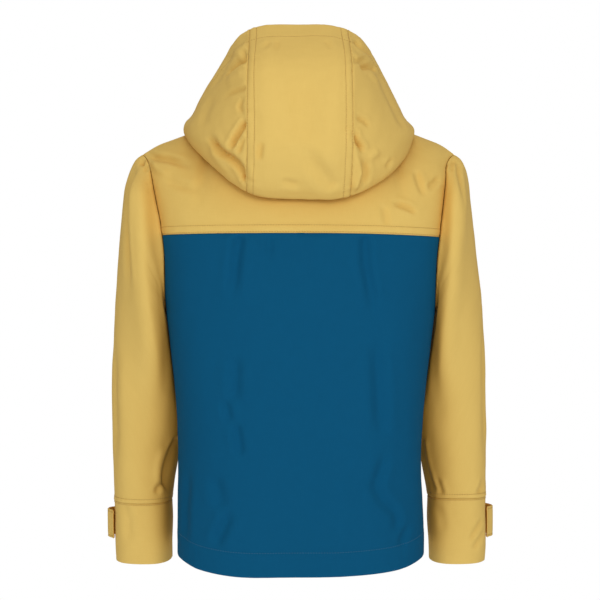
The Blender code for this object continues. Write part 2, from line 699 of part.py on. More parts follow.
def garment():
    """All the cloth panels, with their seams joined."""
    back_body, front_body = half_body(False), half_body(True)
    back_yoke, front_yoke = half_yoke(False, back_body), half_yoke(True, front_body)
    side = np.concatenate([back_yoke[-1, : len(BACK_NECK_X)], front_yoke[-1, :FRONT_NECK_CELLS][::-1]])
    neck = np.concatenate([mirrored(side)[:0:-1], side])
    loop, lowest = armhole_loop(back_body, back_yoke, front_body, front_yoke)
    sleeve, cuff = sleeve_rows(loop, lowest)
    yokes = (both_halves(back_yoke)[:, ::-1], front_yoke, mirrored(front_yoke)[:, ::-1])

    hood = hood_grid(neck)
    clearance = np.minimum(HOOD_CLEARANCE, HOOD_START + HOOD_RAMP * np.arange(len(hood)))
    hood[1:, 1:-1] = lifted(hood[1:, 1:-1], [Panel("", yoke, "") for yoke in yokes], clearance[1:, None])
    hood = askew(folded(hood, HOOD_FOLDS, -1))
    right, left = (len(neck) // 2 + turn * (BACK_NECK_X.index(STRIP_NECK_X)) for turn in (-1, 1))

    rows = len(front_body)
    slit = [(row, front_body.shape[1] - 1) for row in range(rows - 1 - ZIP_ROWS, rows - 1)]
    body = folded(askew(both_halves(back_body)), BODY_FOLDS, -1)
    edge = np.concatenate([front_body[rows - 1 - ZIP_ROWS :, 0], front_yoke[1:, 0]])
    edge = np.concatenate([askew(np.stack([mirrored(edge), edge], axis=1)), hood[1:, [0, -1]]])
    sleeves = [askew(side) for side in (folded(sleeve, SLEEVE_FOLDS, -1)[:, ::-1], mirrored(sleeve))]
    panels = [
        Panel("back_body", body[:, ::-1], "blue"),
        Panel("front_body", askew(both_halves(front_body)), "blue", missing=slit),
        Panel("back_yoke", askew(yokes[0]), "yellow"),
        Panel("front_yoke_left", askew(yokes[1]), "yellow"),
        Panel("front_yoke_right", askew(yokes[2]), "yellow"),
        Panel("hood_centre", hood[:, right : left + 1][:, ::-1], "yellow"),
        Panel("hood_side_left", hood[:, left:][:, ::-1], "yellow"),
        Panel("hood_side_right", hood[:, : right + 1][:, ::-1], "yellow"),
        Panel("front_zip", edge, "tape"),
        Panel("sleeve_left", sleeves[0], "yellow", round_about=True),
        Panel("sleeve_right", sleeves[1], "yellow", round_about=True),
        Panel("cuff_left", askew(cuff[:, ::-1]), "yellow", round_about=True),
        Panel("cuff_right", askew(mirrored(cuff)), "yellow", round_about=True),
    ]
    join_seams(panels)

    tab = tab_grid()
    panels.append(Panel("cuff_tab_left", askew(tab), "yellow", thickness=TAB_THICKNESS))
    panels.append(Panel("cuff_tab_right", askew(mirrored(tab)[:, ::-1]), "yellow", thickness=TAB_THICKNESS))
    return panels


def zip_slider_place(panels):
    """Where the slider stands on the zip's outer face, and how far it leans."""
    ribbon = next(panel for panel in panels if panel.name == "front_zip").grid.mean(axis=1)
    top, low = ribbon[-1], ribbon[-1 - HOOD_ROWS // 2]
    up = (top - low) / np.linalg.norm(top - low)
    lean = math.atan2(-up[1], up[2])
    return top - up * SLIDER_DOWN, lean


def box(name, low, high, collection):
    """A box between two corners, given in millimetres from the box's own origin."""
    bpy.ops.mesh.primitive_cube_add(size=1)
    made = bpy.context.object
    made.name = made.data.name = name
    low, high = np.array(low) * MM, np.array(high) * MM
    for corner in made.data.vertices:
        corner.co = low + (high - low) * (np.array(corner.co) + 0.5)
    for holder in made.users_collection:
        holder.objects.unlink(made)
    collection.objects.link(made)
    return made


def combine(body, operation, tool):
    """Joins a second box to the body, or cuts it away."""
    step = body.modifiers.new(tool.name, "BOOLEAN")
    step.operation = operation
    step.solver = "EXACT"
    step.object = tool
    tool.parent = body
    tool.hide_render = True
    tool.display_type = "WIRE"


def zip_hardware(panels, parts, tools):
    """The slider, with the bridge that carries the pull, and the pull, hanging plumb from it."""
    place, lean = zip_slider_place(panels)
    plate_x, plate_z = PLATE_HALF
    bridge_x, bridge_z = BRIDGE_HALF
    front = -SLIDER_GAP - PLATE_THICK
    axis = front - BRIDGE_HOLE / 2
    bridge = axis - BRIDGE_HOLE / 2 - BRIDGE_THICK
    slider = box("zip_slider", (-plate_x, front, -plate_z), (plate_x, -SLIDER_GAP, plate_z), parts)
    arch = box("bridge", (-bridge_x, bridge, -bridge_z), (bridge_x, front + WELD, bridge_z), tools)
    hole = (-2 * bridge_x, axis - BRIDGE_HOLE / 2, -EYE_HALF), (2 * bridge_x, front, EYE_HALF)
    combine(arch, "DIFFERENCE", box("bridge_hole", *hole, tools))
    combine(slider, "UNION", arch)
    slider.location = place * MM
    slider.rotation_euler.x = lean

    pull_x, pull_y = PULL_HALF
    slot_x, slot_end = PULL_SLOT
    pull = box("zip_pull", (-pull_x, -pull_y, -PULL_LENGTH), (pull_x, pull_y, CROSSBAR), parts)
    slot = (-slot_x, -2 * pull_y, -slot_end), (slot_x, 2 * pull_y, -CROSSBAR)
    combine(pull, "DIFFERENCE", box("pull_slot", *slot, tools))
    pull.location = (place + axis * np.array([0, math.cos(lean), math.sin(lean)])) * MM
    for piece in (slider, pull):
        piece.data.materials.append(material(piece.name, *PAINTED_METAL))


def main():
    for made in list(bpy.data.objects):
        bpy.data.objects.remove(made)
    parts = bpy.data.collections.new("anorak_pullover")
    tools = bpy.data.collections.new("zip_tools")
    for collection in (parts, tools):
        bpy.context.scene.collection.children.link(collection)
    panels = garment()
    for panel in panels:
        cloth_wall(panel, parts)
    zip_hardware(panels, parts, tools)


if __name__ == "__main__":
    main()
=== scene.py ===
"""Looks of a child's anorak pullover: cloth, seams, stitching, creases, zip, studio and camera.

Every cloth piece is a thin shell on the form of its solid in the frame, worked out from the same
sections. Lengths are in millimetres until a mesh is made, which is in metres.
"""

import logging
import math
from collections.abc import Iterable, Sequence
from dataclasses import dataclass, field, replace
from enum import Enum

import bmesh
import bpy
import numpy as np
from bmesh.types import BMesh
from bpy.types import ID, Material, Node, NodeSocket, NodeTree, Object
from mathutils import Matrix, Vector


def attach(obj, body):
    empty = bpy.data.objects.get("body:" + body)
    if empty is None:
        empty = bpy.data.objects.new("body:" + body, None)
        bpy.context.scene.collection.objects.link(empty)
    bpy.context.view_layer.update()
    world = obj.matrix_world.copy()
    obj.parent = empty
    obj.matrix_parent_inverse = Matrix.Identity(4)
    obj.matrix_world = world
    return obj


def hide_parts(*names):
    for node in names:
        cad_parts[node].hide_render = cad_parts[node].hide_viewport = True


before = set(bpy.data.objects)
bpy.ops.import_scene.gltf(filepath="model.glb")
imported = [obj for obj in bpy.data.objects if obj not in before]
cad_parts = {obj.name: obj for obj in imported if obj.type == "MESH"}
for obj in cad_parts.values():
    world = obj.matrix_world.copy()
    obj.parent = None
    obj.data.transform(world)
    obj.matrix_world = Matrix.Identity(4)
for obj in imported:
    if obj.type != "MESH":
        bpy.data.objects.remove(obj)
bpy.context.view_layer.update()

LOG = logging.getLogger("anorak")
Grid = np.ndarray
MM = 0.001
GARMENT, PULL = "garment", "zip_pull"
EDGES = ("low", "high", "start", "end")  # of a cloth piece's grid
CELL = 2.9  # size of a cell of the finished cloth
SEAM_GAP = 0.36  # between two pieces at a seam
STITCH_STEP = 3.3  # from one stitch to the next
STITCH_DRAW = 3.0  # how strongly each stitch draws the cloth, against the height of a thread
CLOTH = 1.2  # thickness that is seen at an edge
NOTHING = 1e-12  # a length below this is none


# ---------- small helpers
def smooth(value: Grid, low: float, high: float) -> Grid:
    """A soft step from 0 at low to 1 at high."""
    share = np.clip((value - low) / (high - low), 0, 1)
    return share * share * (3 - 2 * share)


def bell(value: Grid, width: float) -> Grid:
    """1 at zero, falling softly to nothing over about two widths."""
    return np.exp(-((value / width) ** 2))


def unit(vectors: Grid) -> Grid:
    """The vectors at length one."""
    return vectors / np.maximum(np.linalg.norm(vectors, axis=-1, keepdims=True), NOTHING)


def hermite(t: Grid, start: Grid, leave: Grid, end: Grid, arrive: Grid, reach: Grid) -> Grid:
    """A curve between two points that leaves and arrives in set directions.

    Args:
        t: Share of the way along it.
        start: Its first point.
        leave: Its direction there.
        end: Its last point.
        arrive: Its direction there.
        reach: How strongly it keeps to both directions.

    Returns:
        Its points.
    """
    return (
        (2 * t**3 - 3 * t**2 + 1) * start
        + (t**3 - 2 * t**2 + t) * reach * leave
        + (3 * t**2 - 2 * t**3) * end
        + (t**3 - t**2) * reach * arrive
    )


def spline(knots: Iterable, values: Iterable, at: Iterable) -> Grid:
    """A smooth curve through values at knots.

    Args:
        knots: Rising places of the values.
        values: A number or point for each knot.
        at: Places where the curve is read.

    Returns:
        One row for each place.
    """
    knots = np.asarray(knots, float)
    values = np.asarray(values, float).reshape(len(knots), -1)
    at = np.atleast_1d(np.asarray(at, float))
    steps = np.diff(knots)[:, None]
    slopes = np.diff(values, axis=0) / steps
    tangents = np.empty_like(values)
    tangents[0], tangents[-1] = slopes[0], slopes[-1]
    before, after = steps[:-1], steps[1:]
    tangents[1:-1] = (slopes[:-1] * after + slopes[1:] * before) / (before + after)
    i = np.clip(np.searchsorted(knots, at, side="right") - 1, 0, len(knots) - 2)
    width = steps[i]
    t = (at[:, None] - knots[i][:, None]) / width
    return hermite(t, values[i], tangents[i], values[i + 1], tangents[i + 1], width)


def way_along(lines: Grid) -> Grid:
    """The distance of each point from the first one of its line; lines run along the second axis."""
    steps = np.linalg.norm(np.diff(lines, axis=1), axis=2)
    return np.concatenate([np.zeros((len(lines), 1)), np.cumsum(steps, axis=1)], axis=1)


def facing(grid: Grid, closed: bool = False) -> Grid:
    """The outward direction at each point of a grid, rows by columns.

    Args:
        grid: Points of the outer face.
        closed: Whether the last column lies on the first.

    Returns:
        A unit vector for each point.
    """
    if closed:
        padded = np.concatenate([grid[:, -2:-1], grid, grid[:, 1:2]], axis=1)
        across = np.gradient(padded, axis=1)[:, 1:-1]
    else:
        across = np.gradient(grid, axis=1)
    return unit(np.cross(across, np.gradient(grid, axis=0)))


def mirrored(half: Grid) -> Grid:
    """The same points on the wearer's right."""
    return half * np.array([-1, 1, 1])


def both_halves(half: Grid) -> Grid:
    """A whole piece from its left half.

    Args:
        half: Rows by columns, from the middle outwards.

    Returns:
        The piece, its columns running from the wearer's right to the left.
    """
    right = mirrored(half)[:, ::-1]
    joined = right[:, :-1] if abs(half[0, 0, 0]) < NOTHING else right
    return np.concatenate([joined, half], axis=1)


def linked(name: str, data: ID) -> Object:
    """A new object with this data, in the scene.

    Args:
        name: Of the object.
        data: Its mesh, light or camera.

    Returns:
        The object.
    """
    made = bpy.data.objects.new(name, data)
    bpy.context.scene.collection.objects.link(made)
    return made


# ---------- how it hangs
class Side(Enum):
    """Which way the cloth faces where a crease lies: axis of its direction, and sign."""

    BACK = (1, 1)
    FRONT = (1, -1)
    LEFT = (0, 1)
    RIGHT = (0, -1)


@dataclass(frozen=True)
class Crease:
    """A soft trough in the cloth or, with a height above zero, a ridge.

    Attributes:
        path: Places (x, z), or (y, z) on the left and right sides, that it runs through.
        width: From its middle to where it has mostly flattened out.
        height: Of its middle over the cloth round it.
        lean: Above 0, its right flank, as one goes along the path, is the wider one.
        shoulder: Share of the height that the cloth comes back on both sides.
        fade: Shares of its length over which its two ends die away.
        side: Which way the cloth faces there.
    """

    path: tuple[tuple[float, float], ...]
    width: float
    height: float
    lean: float = 0.0
    shoulder: float = 0.3
    fade: tuple[float, float] = (0.3, 0.3)
    side: Side = Side.BACK

    STEPS = 28  # straight stretches that its path is followed in
    REACH = 3.6  # widths past which it moves nothing
    SHOULDER = (2.0, 0.9)  # how many widths out the cloth comes back, and over how many, squared
    TURNED = 1.6  # how soon it dies away where the cloth turns to another side

    def relief(self, points: Grid, normals: Grid) -> Grid:
        """How far the crease moves the cloth.

        Args:
            points: Of the even cloth.
            normals: Its outward directions.

        Returns:
            The way of each point along its normal.
        """
        axis, sign = self.side.value
        flat = points[..., [1 - axis, 2]]
        path = np.array(self.path, float)
        knots = np.concatenate([[0], np.cumsum(np.linalg.norm(np.diff(path, axis=0), axis=1))])
        line = spline(knots, path, np.linspace(0, knots[-1], self.STEPS + 1))
        reach = self.REACH * self.width * (1 + abs(self.lean))
        low, high = line.min(0) - reach, line.max(0) + reach
        near = ((flat > low) & (flat < high)).all(axis=-1) & (sign * normals[..., axis] > 0)
        moved = np.zeros(points.shape[:-1])
        if not near.any():
            return moved
        spots, start, run = flat[near], line[:-1], np.diff(line, axis=0)
        beside = spots[:, None] - start
        share = np.clip((beside * run).sum(-1) / (run * run).sum(-1), 0, 1)
        gap = beside - share[..., None] * run
        away = np.linalg.norm(gap, axis=-1)
        best = away.argmin(axis=1)
        row = np.arange(len(spots))
        turn = run[best, 0] * gap[row, best, 1] - run[best, 1] * gap[row, best, 0]
        along = (best + share[row, best]) / self.STEPS
        width = self.width * np.where(turn < 0, 1 + self.lean, 1 - self.lean)
        t = away[row, best] / width
        out, spread = self.SHOULDER
        profile = np.exp(-t * t) - self.shoulder * np.exp(-((t - out) ** 2) / spread)
        for from_end, fade in ((along, self.fade[0]), (1 - along, self.fade[1])):
            if fade:
                profile *= smooth(from_end, 0, fade)
        turned = np.clip(self.TURNED * sign * normals[near][:, axis], 0, 1)
        moved[near] = self.height * profile * turned
        return moved


@dataclass(frozen=True)
class Hang:
    """How a group of pieces departs from its even form.

    Attributes:
        creases: Placed one by one.
        swell: Height of the broad unevenness.
        swell_size: Its length across, and how many times longer it is up and down.
        crumple: Height of the small unevenness.
        crumple_size: Its length.
        strength: What the creases' heights are multiplied by.
        seed: Of the swell; the crumple takes the next one.
    """

    creases: tuple[Crease, ...] = ()
    swell: float = 0.8
    swell_size: tuple[float, float] = (85.0, 2.5)
    crumple: float = 0.12
    crumple_size: float = 24.0
    strength: float = 1.0
    seed: int = 1

    WAVES = 9
    LENGTHS = (0.7, 1.5)  # shortest and longest wave, as shares of the stated length
    PEAK = 1.5  # how high their sum gets, against its usual height
    CRUMPLE_LONGER = 1.3

    def waves(self, points: Grid, size: float, longer: float, seed: int) -> Grid:
        """A sum of even waves in fixed random directions, about 1 high.

        Args:
            points: Where it is read.
            size: Length of the waves.
            longer: How many times longer they are up and down.
            seed: Of their directions, lengths and places.

        Returns:
            The height at each point.
        """
        draw = np.random.default_rng(seed)
        total = np.zeros(points.shape[:-1])
        for _ in range(self.WAVES):
            way = draw.normal(size=3) / (1, 1, longer)
            way *= 2 * math.pi / (size * draw.uniform(*self.LENGTHS)) / np.linalg.norm(way)
            total += np.sin(points @ way + draw.uniform(0, 2 * math.pi))
        return total / math.sqrt(self.WAVES / 2) / self.PEAK

    def relief(self, points: Grid, normals: Grid) -> Grid:
        """How far the cloth departs from its even form.

        Args:
            points: Of the even cloth.
            normals: Its outward directions.

        Returns:
            The way of each point along its normal.
        """
        moved = self.swell * self.waves(points, *self.swell_size, self.seed)
        moved += self.crumple * self.waves(points, self.crumple_size, self.CRUMPLE_LONGER, self.seed + 1)
        for crease in self.creases:
            moved += self.strength * crease.relief(points, normals)
        return moved


@dataclass(frozen=True)
class Pull:
    """A place where the whole garment hangs a little off its even form.

    Attributes:
        x, z: Where its middle is.
        reach_x, reach_z: How far from there it has mostly died away.
        move_x, move_z: How far the middle is moved.
    """

    x: float
    z: float
    reach_x: float
    reach_z: float
    move_x: float
    move_z: float


ASKEW = (
    Pull(-232, -130, 36, 110, 8.5, 0.0),
    Pull(-238, -330, 40, 110, 4.5, 0.0),
    Pull(0, -455, 190, 60, 2.8, 0.0),
    Pull(-190, -165, 90, 40, 0.0, -2.5),
    Pull(75, -578, 45, 30, 0.0, -2.0),
    Pull(-208, -500, 70, 40, 0.0, 3.5),
    Pull(130, 25, 40, 45, -4.5, 0.0),
    Pull(-130, 25, 40, 45, 4.0, 0.0),
    Pull(0, 105, 100, 35, 4.0, 0.0),
    Pull(184, -105, 28, 50, 6.0, 0.0),
    Pull(-182, -125, 32, 62, -5.0, 0.0),
    Pull(-192, -62, 16, 20, 4.0, 0.0),
    Pull(156, -580, 18, 14, -2.0, 3.5),
    Pull(-156, -580, 18, 14, 2.0, 2.0),
    Pull(208, -510, 70, 45, 0.0, -3.5),
    Pull(150, -4, 16, 13, -3.5, 0.0),
    Pull(-146, -7, 16, 12, 5.0, 0.0),
    Pull(-147, -26, 12, 8, -2.5, 0.0),
)


def askew(points: Grid) -> Grid:
    """The points where they hang, a little off the even form.

    Args:
        points: Of the even form.

    Returns:
        The moved points.
    """
    moved = points.copy()
    for pull in ASKEW:
        away = ((points[..., 0] - pull.x) / pull.reach_x) ** 2
        away += ((points[..., 2] - pull.z) / pull.reach_z) ** 2
        moved += np.exp(-away)[..., None] * np.array([pull.move_x, 0, pull.move_z])
    return moved


# ---------- how edges are sewn
@dataclass(frozen=True)
class Sewing:
    """How one edge of a piece is finished. Distances are from that edge.

    Attributes:
        rows: Distances of the stitch rows.
        band: Width of the doubled cloth along the edge.
        rise: How far the doubled cloth stands up.
        free: Whether the edge is folded over and joins nothing.
        hold: Distance over which the seam keeps the cloth from creasing.
        pucker: Height of the ripples that the stitching draws.
        seed: Shifts the ripples, so that no two seams look the same.
    """

    rows: tuple[float, ...] = ()
    band: float = 0.0
    rise: float = 0.0
    free: bool = False
    hold: float = 8.0
    pucker: float = 0.0
    seed: float = 0.0

    GROOVE = (0.45, 0.75)  # depth and width that a row of stitches presses into the cloth
    VALLEY = (0.7, 1.1)  # the same where two pieces meet
    DRAWN = 1.9  # how far from a row its stitches draw the cloth
    NEAR_EDGE = (0.6, 1.5)  # where lines of the grid follow the edge
    BESIDE_ROW = 0.7  # how far from a row of stitches the grid has lines
    FALL = (1.4, 1.6)  # width of the step at the end of the band, in the grid and in the form
    CLIMB = (-0.6, 1.2)  # where the doubled cloth rises at the edge
    CLOSEST = 0.35  # distance that lines of the grid keep
    WANDER = (9.0, 17.0)  # how far, and over what length, the beat of the ripples shifts
    RIPPLES = (1.55, 2.35, 0.7)  # lengths of two ripples, and the height of the second
    FADING = (0.55, 0.45, 14.0)  # the ripples' height: its middle, its change and over what length
    RIPPLED = (0.6, 1.7)  # shares of the band between which the ripples die away
    LEAST_RIPPLED = 5.0  # least width of the band for that

    def lines(self, cell: float) -> Grid:
        """Distances at which the finished grid has a line, from the edge inwards.

        Args:
            cell: About how wide a cell is between them.

        Returns:
            The rising distances.
        """
        first = 0.0 if self.free else SEAM_GAP / 2
        wanted = {first, *(first + place for place in self.NEAR_EDGE)}
        for row in self.rows:
            wanted |= {row - self.BESIDE_ROW, row, row + self.BESIDE_ROW}
        if self.band:
            wanted |= {self.band, self.band + self.FALL[0]}
        kept = [first]
        for place in sorted(wanted):
            if place > kept[-1] + self.CLOSEST:
                kept.append(place)
        even = [kept[0]]
        for low, high in zip(kept, kept[1:]):
            count = max(1, round((high - low) / cell))
            even.extend(low + (high - low) * k / count for k in range(1, count + 1))
        return np.array(even)

    def drawn(self, away: Grid) -> Grid:
        """How much the stitches draw the cloth at a distance from the edge."""
        return sum((bell(away - row, self.DRAWN) for row in self.rows), np.zeros_like(away))

    def relief(self, away: Grid, along: Grid) -> Grid:
        """How the sewing moves each point along its normal.

        Args:
            away: Distance of each point from the edge.
            along: Its place along the edge.

        Returns:
            The height at each point.
        """
        height = np.zeros_like(away)
        if self.rise:
            fallen = smooth(away, self.band, self.band + self.FALL[1])
            height += self.rise * smooth(away, *self.CLIMB) * (1 - fallen)
        if not self.free:
            height -= self.VALLEY[0] * bell(away, self.VALLEY[1])
        for row in self.rows:
            height -= self.GROOVE[0] * bell(away - row, self.GROOVE[1])
        if self.pucker:
            shift, length = self.WANDER
            beat = along + shift * np.sin(along / length + self.seed)
            first, second, share = self.RIPPLES
            ripple = np.sin(beat / first + self.seed) + share * np.sin(beat / second + 2 * self.seed)
            middle, change, length = self.FADING
            strength = middle + change * np.sin(along / length + 3 * self.seed)
            near, far = (share * max(self.band, self.LEAST_RIPPLED) for share in self.RIPPLED)
            height += self.pucker * strength * ripple * (1 - smooth(away, near, far))
        return height


SEAM = Sewing()
ARMHOLE = Sewing(hold=11, pucker=0.18, seed=0.4)
SLEEVE_HEAD = Sewing(hold=1.8, pucker=0.28, seed=0.4)
PLACKET = Sewing(rows=(1.6, 6.5), band=7.2, rise=0.5, hold=6, pucker=0.12, seed=0.2)


# ---------- finishes
class Tree:
    """Adds nodes to a node tree and links them."""

    ROUGHNESS = 0.55  # of clouds

    def __init__(self, tree: NodeTree) -> None:
        """Keeps the tree that is worked on."""
        self.tree = tree

    def add(self, kind: str, inputs: dict | None = None, **settings: object) -> Node:
        """Adds a node.

        Args:
            kind: Blender's name for the type of node.
            inputs: Socket name or number, and the socket or value that it takes.
            settings: Properties of the node.

        Returns:
            The new node.
        """
        node = self.tree.nodes.new(kind)
        for name, value in settings.items():
            setattr(node, name, value)
        self.feed(node, inputs or {})
        return node

    def feed(self, node: Node, inputs: dict) -> None:
        """Gives a node what its sockets take.

        Args:
            node: That is fed.
            inputs: Socket name or number, and the socket or value that it takes.
        """
        for name, value in inputs.items():
            if isinstance(value, NodeSocket):
                self.tree.links.new(value, node.inputs[name])
            else:
                node.inputs[name].default_value = value

    def maths(self, operation: str, *values: object) -> NodeSocket:
        """The result of a Math node on these values or sockets."""
        node = self.add("ShaderNodeMath", dict(enumerate(values)), operation=operation)
        return node.outputs[0]

    def mix(self, share: object, first: object, second: object) -> NodeSocket:
        """A colour between two others."""
        inputs = {"Factor": share, 6: first, 7: second}
        return self.add("ShaderNodeMix", inputs, data_type="RGBA").outputs[2]

    def noise(self, place: NodeSocket, scale: float, detail: float = 3) -> NodeSocket:
        """A cloudy value about 0.5."""
        inputs = {"Vector": place, "Scale": scale, "Detail": detail, "Roughness": self.ROUGHNESS}
        return self.add("ShaderNodeTexNoise", inputs).outputs[0]


Group = tuple[Tree, Node, Node]


def new_group(name: str, kind: str, inputs: dict, outputs: dict) -> Group:
    """A node group with named sockets.

    Args:
        name: Of the group.
        kind: ShaderNodeTree or GeometryNodeTree.
        inputs: Socket type for each input, or a pair of it and its value.
        outputs: Socket type for each output.

    Returns:
        The tree, and its input and output nodes.
    """
    group = bpy.data.node_groups.new(name, kind)
    for label, socket in inputs.items():
        socket_type, value = socket if isinstance(socket, tuple) else (socket, None)
        made = group.interface.new_socket(label, in_out="INPUT", socket_type=socket_type)
        if value is not None:
            made.default_value = value
    for label, socket_type in outputs.items():
        group.interface.new_socket(label, in_out="OUTPUT", socket_type=socket_type)
    tree = Tree(group)
    return tree, tree.add("NodeGroupInput"), tree.add("NodeGroupOutput")


# How uneven the yarn is: waves for each metre both ways, detail, and what it does to height and shade.
YARN_STRETCHES = ((60.0, 1500.0, 1.0), (1500.0, 60.0, 1.0))
YARN_DETAIL = 2
YARN_HEIGHT, YARN_SHADE = 1.2, 0.9
CLOUDS = (14.0, 70.0)  # for each metre


def weave_group() -> NodeTree:
    """The plain weave, built once: threads over and under, uneven yarn, and soft clouds of shade.

    Returns:
        A group that puts out height, shade and clouds.
    """
    name = "plain_weave"
    if name in bpy.data.node_groups:
        return bpy.data.node_groups[name]
    inputs = {
        "Place": "NodeSocketVector",
        "Thread": ("NodeSocketFloat", 0.5 * MM),
        "Uneven": ("NodeSocketFloat", 0.5),
        "Sewn": "NodeSocketVector",
        "Stitch": ("NodeSocketFloat", STITCH_STEP * MM),
    }
    outputs = dict.fromkeys(("Height", "Shade", "Clouds"), "NodeSocketFloat")
    tree, given, result = new_group(name, "ShaderNodeTree", inputs, outputs)
    place, thread, uneven, sewn, stitch = given.outputs[:5]
    parts = tree.add("ShaderNodeSeparateXYZ", {0: place})
    turn = tree.maths("DIVIDE", math.pi, thread)
    waves = [tree.maths("SINE", tree.maths("MULTIPLY", parts.outputs[axis], turn)) for axis in (0, 1)]
    over = tree.maths("MULTIPLY", *waves)
    warp, weft = (tree.maths("ABSOLUTE", wave) for wave in waves)
    side = tree.maths("MULTIPLY_ADD", over, 0.5, 0.5)
    knit = tree.add("ShaderNodeMix", {0: side, 2: warp, 3: weft}).outputs[0]
    yarns = []
    for stretch in YARN_STRETCHES:
        scaled = tree.add("ShaderNodeVectorMath", {0: place, 1: stretch}, operation="MULTIPLY").outputs[0]
        yarns.append(tree.noise(scaled, 1.0, YARN_DETAIL))
    yarn = tree.maths("MULTIPLY_ADD", tree.maths("ADD", *yarns), 1.0, -1.0)
    rough = tree.maths("MULTIPLY", yarn, uneven)
    height = tree.maths("MULTIPLY_ADD", rough, YARN_HEIGHT, knit)
    draws = tree.add("ShaderNodeSeparateXYZ", {0: sewn})
    beat = tree.maths("DIVIDE", 2 * math.pi, stitch)
    for axis in (0, 1):
        drawn = tree.maths("SINE", tree.maths("MULTIPLY", parts.outputs[axis], beat))
        drawn = tree.maths("MULTIPLY", drawn, draws.outputs[axis])
        height = tree.maths("MULTIPLY_ADD", drawn, STITCH_DRAW, height)
    clouds = tree.maths("ADD", *(tree.noise(place, scale) for scale in CLOUDS))
    shade = tree.maths("MULTIPLY_ADD", rough, YARN_SHADE, 0.5)
    tree.feed(result, {0: height, 1: shade, 2: tree.maths("MULTIPLY", clouds, 0.5)})
    return tree.tree


@dataclass(frozen=True)
class Finish:
    """What every finish has.

    Attributes:
        name: Of its material.
        slot: The record's slot; not used.
    """

    name: str
    slot: str

    def material(self) -> Material:
        """The finish as a material, made once.

        Returns:
            The material.
        """
        if self.name not in bpy.data.materials:
            made = bpy.data.materials.new(self.name)
            made.use_nodes = True
            self.dress(Tree(made.node_tree), made.node_tree.nodes["Principled BSDF"])
        return bpy.data.materials[self.name]

    def dress(self, tree: Tree, shader: Node) -> None:
        """Sets the shader's sockets, in each finish's own way.

        Args:
            tree: Of the material.
            shader: Its Principled BSDF.
        """
        raise NotImplementedError


@dataclass(frozen=True)
class ClothFinish(Finish):
    """A woven cotton cloth.

    Attributes:
        colour: Of the threads on top.
        deep: Colour between the threads and in worn patches.
        roughness: Of the yarn.
        sheen: Of the nap.
        specular: How much the surface mirrors.
        thread: Width of a thread, in metres.
        painted_shade_tint: Painted shade: what the colour is multiplied by where other cloth is close
            in front of it, found by ambient occlusion. It stands in for the shade there and for light
            thrown back off strongly coloured cloth, which grows richer in colour each time.
        painted_shade_reach: How close, in metres, for that painted shade.
    """

    colour: tuple[float, float, float]
    deep: tuple[float, float, float]
    roughness: float = 0.9
    sheen: float = 0.03
    specular: float = 0.12
    thread: float = 0.00045
    painted_shade_tint: tuple[float, float, float] | None = None
    painted_shade_reach: float = 0.12

    CLOUD_SHARE = 0.5  # how much the clouds count, against the yarn's shade
    SHADE = (0.9, -0.2)  # factor and shift from both to the share of the colour on top
    ROUGHER = 0.12  # how much roughness changes with the clouds
    WEAVE_BUMP = {"Strength": 0.35, "Distance": 0.00012}
    NAP = 0.45  # its roughness
    PAINTED_SHADE_GAIN = 1.1  # how fully the painted shade is laid on where other cloth is close

    def dress(self, tree: Tree, shader: Node) -> None:
        """Sets the shader's sockets.

        Args:
            tree: Of the material.
            shader: Its Principled BSDF.
        """
        place = tree.add("ShaderNodeUVMap", uv_map="cloth").outputs[0]
        sewn = tree.add("ShaderNodeAttribute", attribute_name="sewn").outputs["Vector"]
        inputs = {"Thread": self.thread, "Place": place, "Sewn": sewn}
        group = weave_group()
        weave = tree.add("ShaderNodeGroup", node_tree=group)
        tree.feed(weave, inputs)
        height, shade, clouds = weave.outputs
        share = tree.maths("MULTIPLY_ADD", clouds, self.CLOUD_SHARE, shade)
        share = tree.maths("MULTIPLY_ADD", share, *self.SHADE)
        clamped = tree.maths("MINIMUM", tree.maths("MAXIMUM", share, 0.0), 1.0)
        colour = tree.mix(clamped, (*self.deep, 1), (*self.colour, 1))
        # Painted shade: where other cloth is close, ambient occlusion darkens and warms the colour, in place
        # of shade and of light thrown back between the cloths.
        if self.painted_shade_tint:
            near = tree.add("ShaderNodeAmbientOcclusion", {"Distance": self.painted_shade_reach}, samples=8)
            painted_shade_share = tree.maths("MULTIPLY_ADD", near.outputs["AO"], -self.PAINTED_SHADE_GAIN, self.PAINTED_SHADE_GAIN)
            shares = {"Factor": painted_shade_share, 6: colour, 7: (*self.painted_shade_tint, 1)}
            painted_shade_mix = tree.add("ShaderNodeMix", shares, data_type="RGBA", blend_type="MULTIPLY")
            colour = painted_shade_mix.outputs[2]
        rough = tree.maths("MULTIPLY_ADD", clouds, self.ROUGHER, self.roughness - self.ROUGHER / 2)
        bump = tree.add("ShaderNodeBump", {"Height": height, **self.WEAVE_BUMP})
        sockets = {
            "Base Color": colour,
            "Roughness": rough,
            "Normal": bump.outputs[0],
            "Specular IOR Level": self.specular,
            "Sheen Weight": self.sheen,
            "Sheen Roughness": self.NAP,
        }
        tree.feed(shader, sockets)


@dataclass(frozen=True)
class ThreadFinish(Finish):
    """Sewing thread: twisted, a little smoother than the cloth."""

    colour: tuple[float, float, float]

    CLOUDS = 900.0
    DARK = 0.75  # what the darkest places have of the colour
    ROUGH = (0.15, 0.5)  # how much roughness changes, and its least value

    def dress(self, tree: Tree, shader: Node) -> None:
        """Sets the shader's sockets.

        Args:
            tree: Of the material.
            shader: Its Principled BSDF.
        """
        cloud = tree.noise(tree.add("ShaderNodeTexCoord").outputs["Object"], self.CLOUDS)
        dark = tuple(self.DARK * part for part in self.colour)
        colour = tree.mix(cloud, (*dark, 1), (*self.colour, 1))
        rough = tree.maths("MULTIPLY_ADD", cloud, *self.ROUGH)
        tree.feed(shader, {"Base Color": colour, "Roughness": rough})


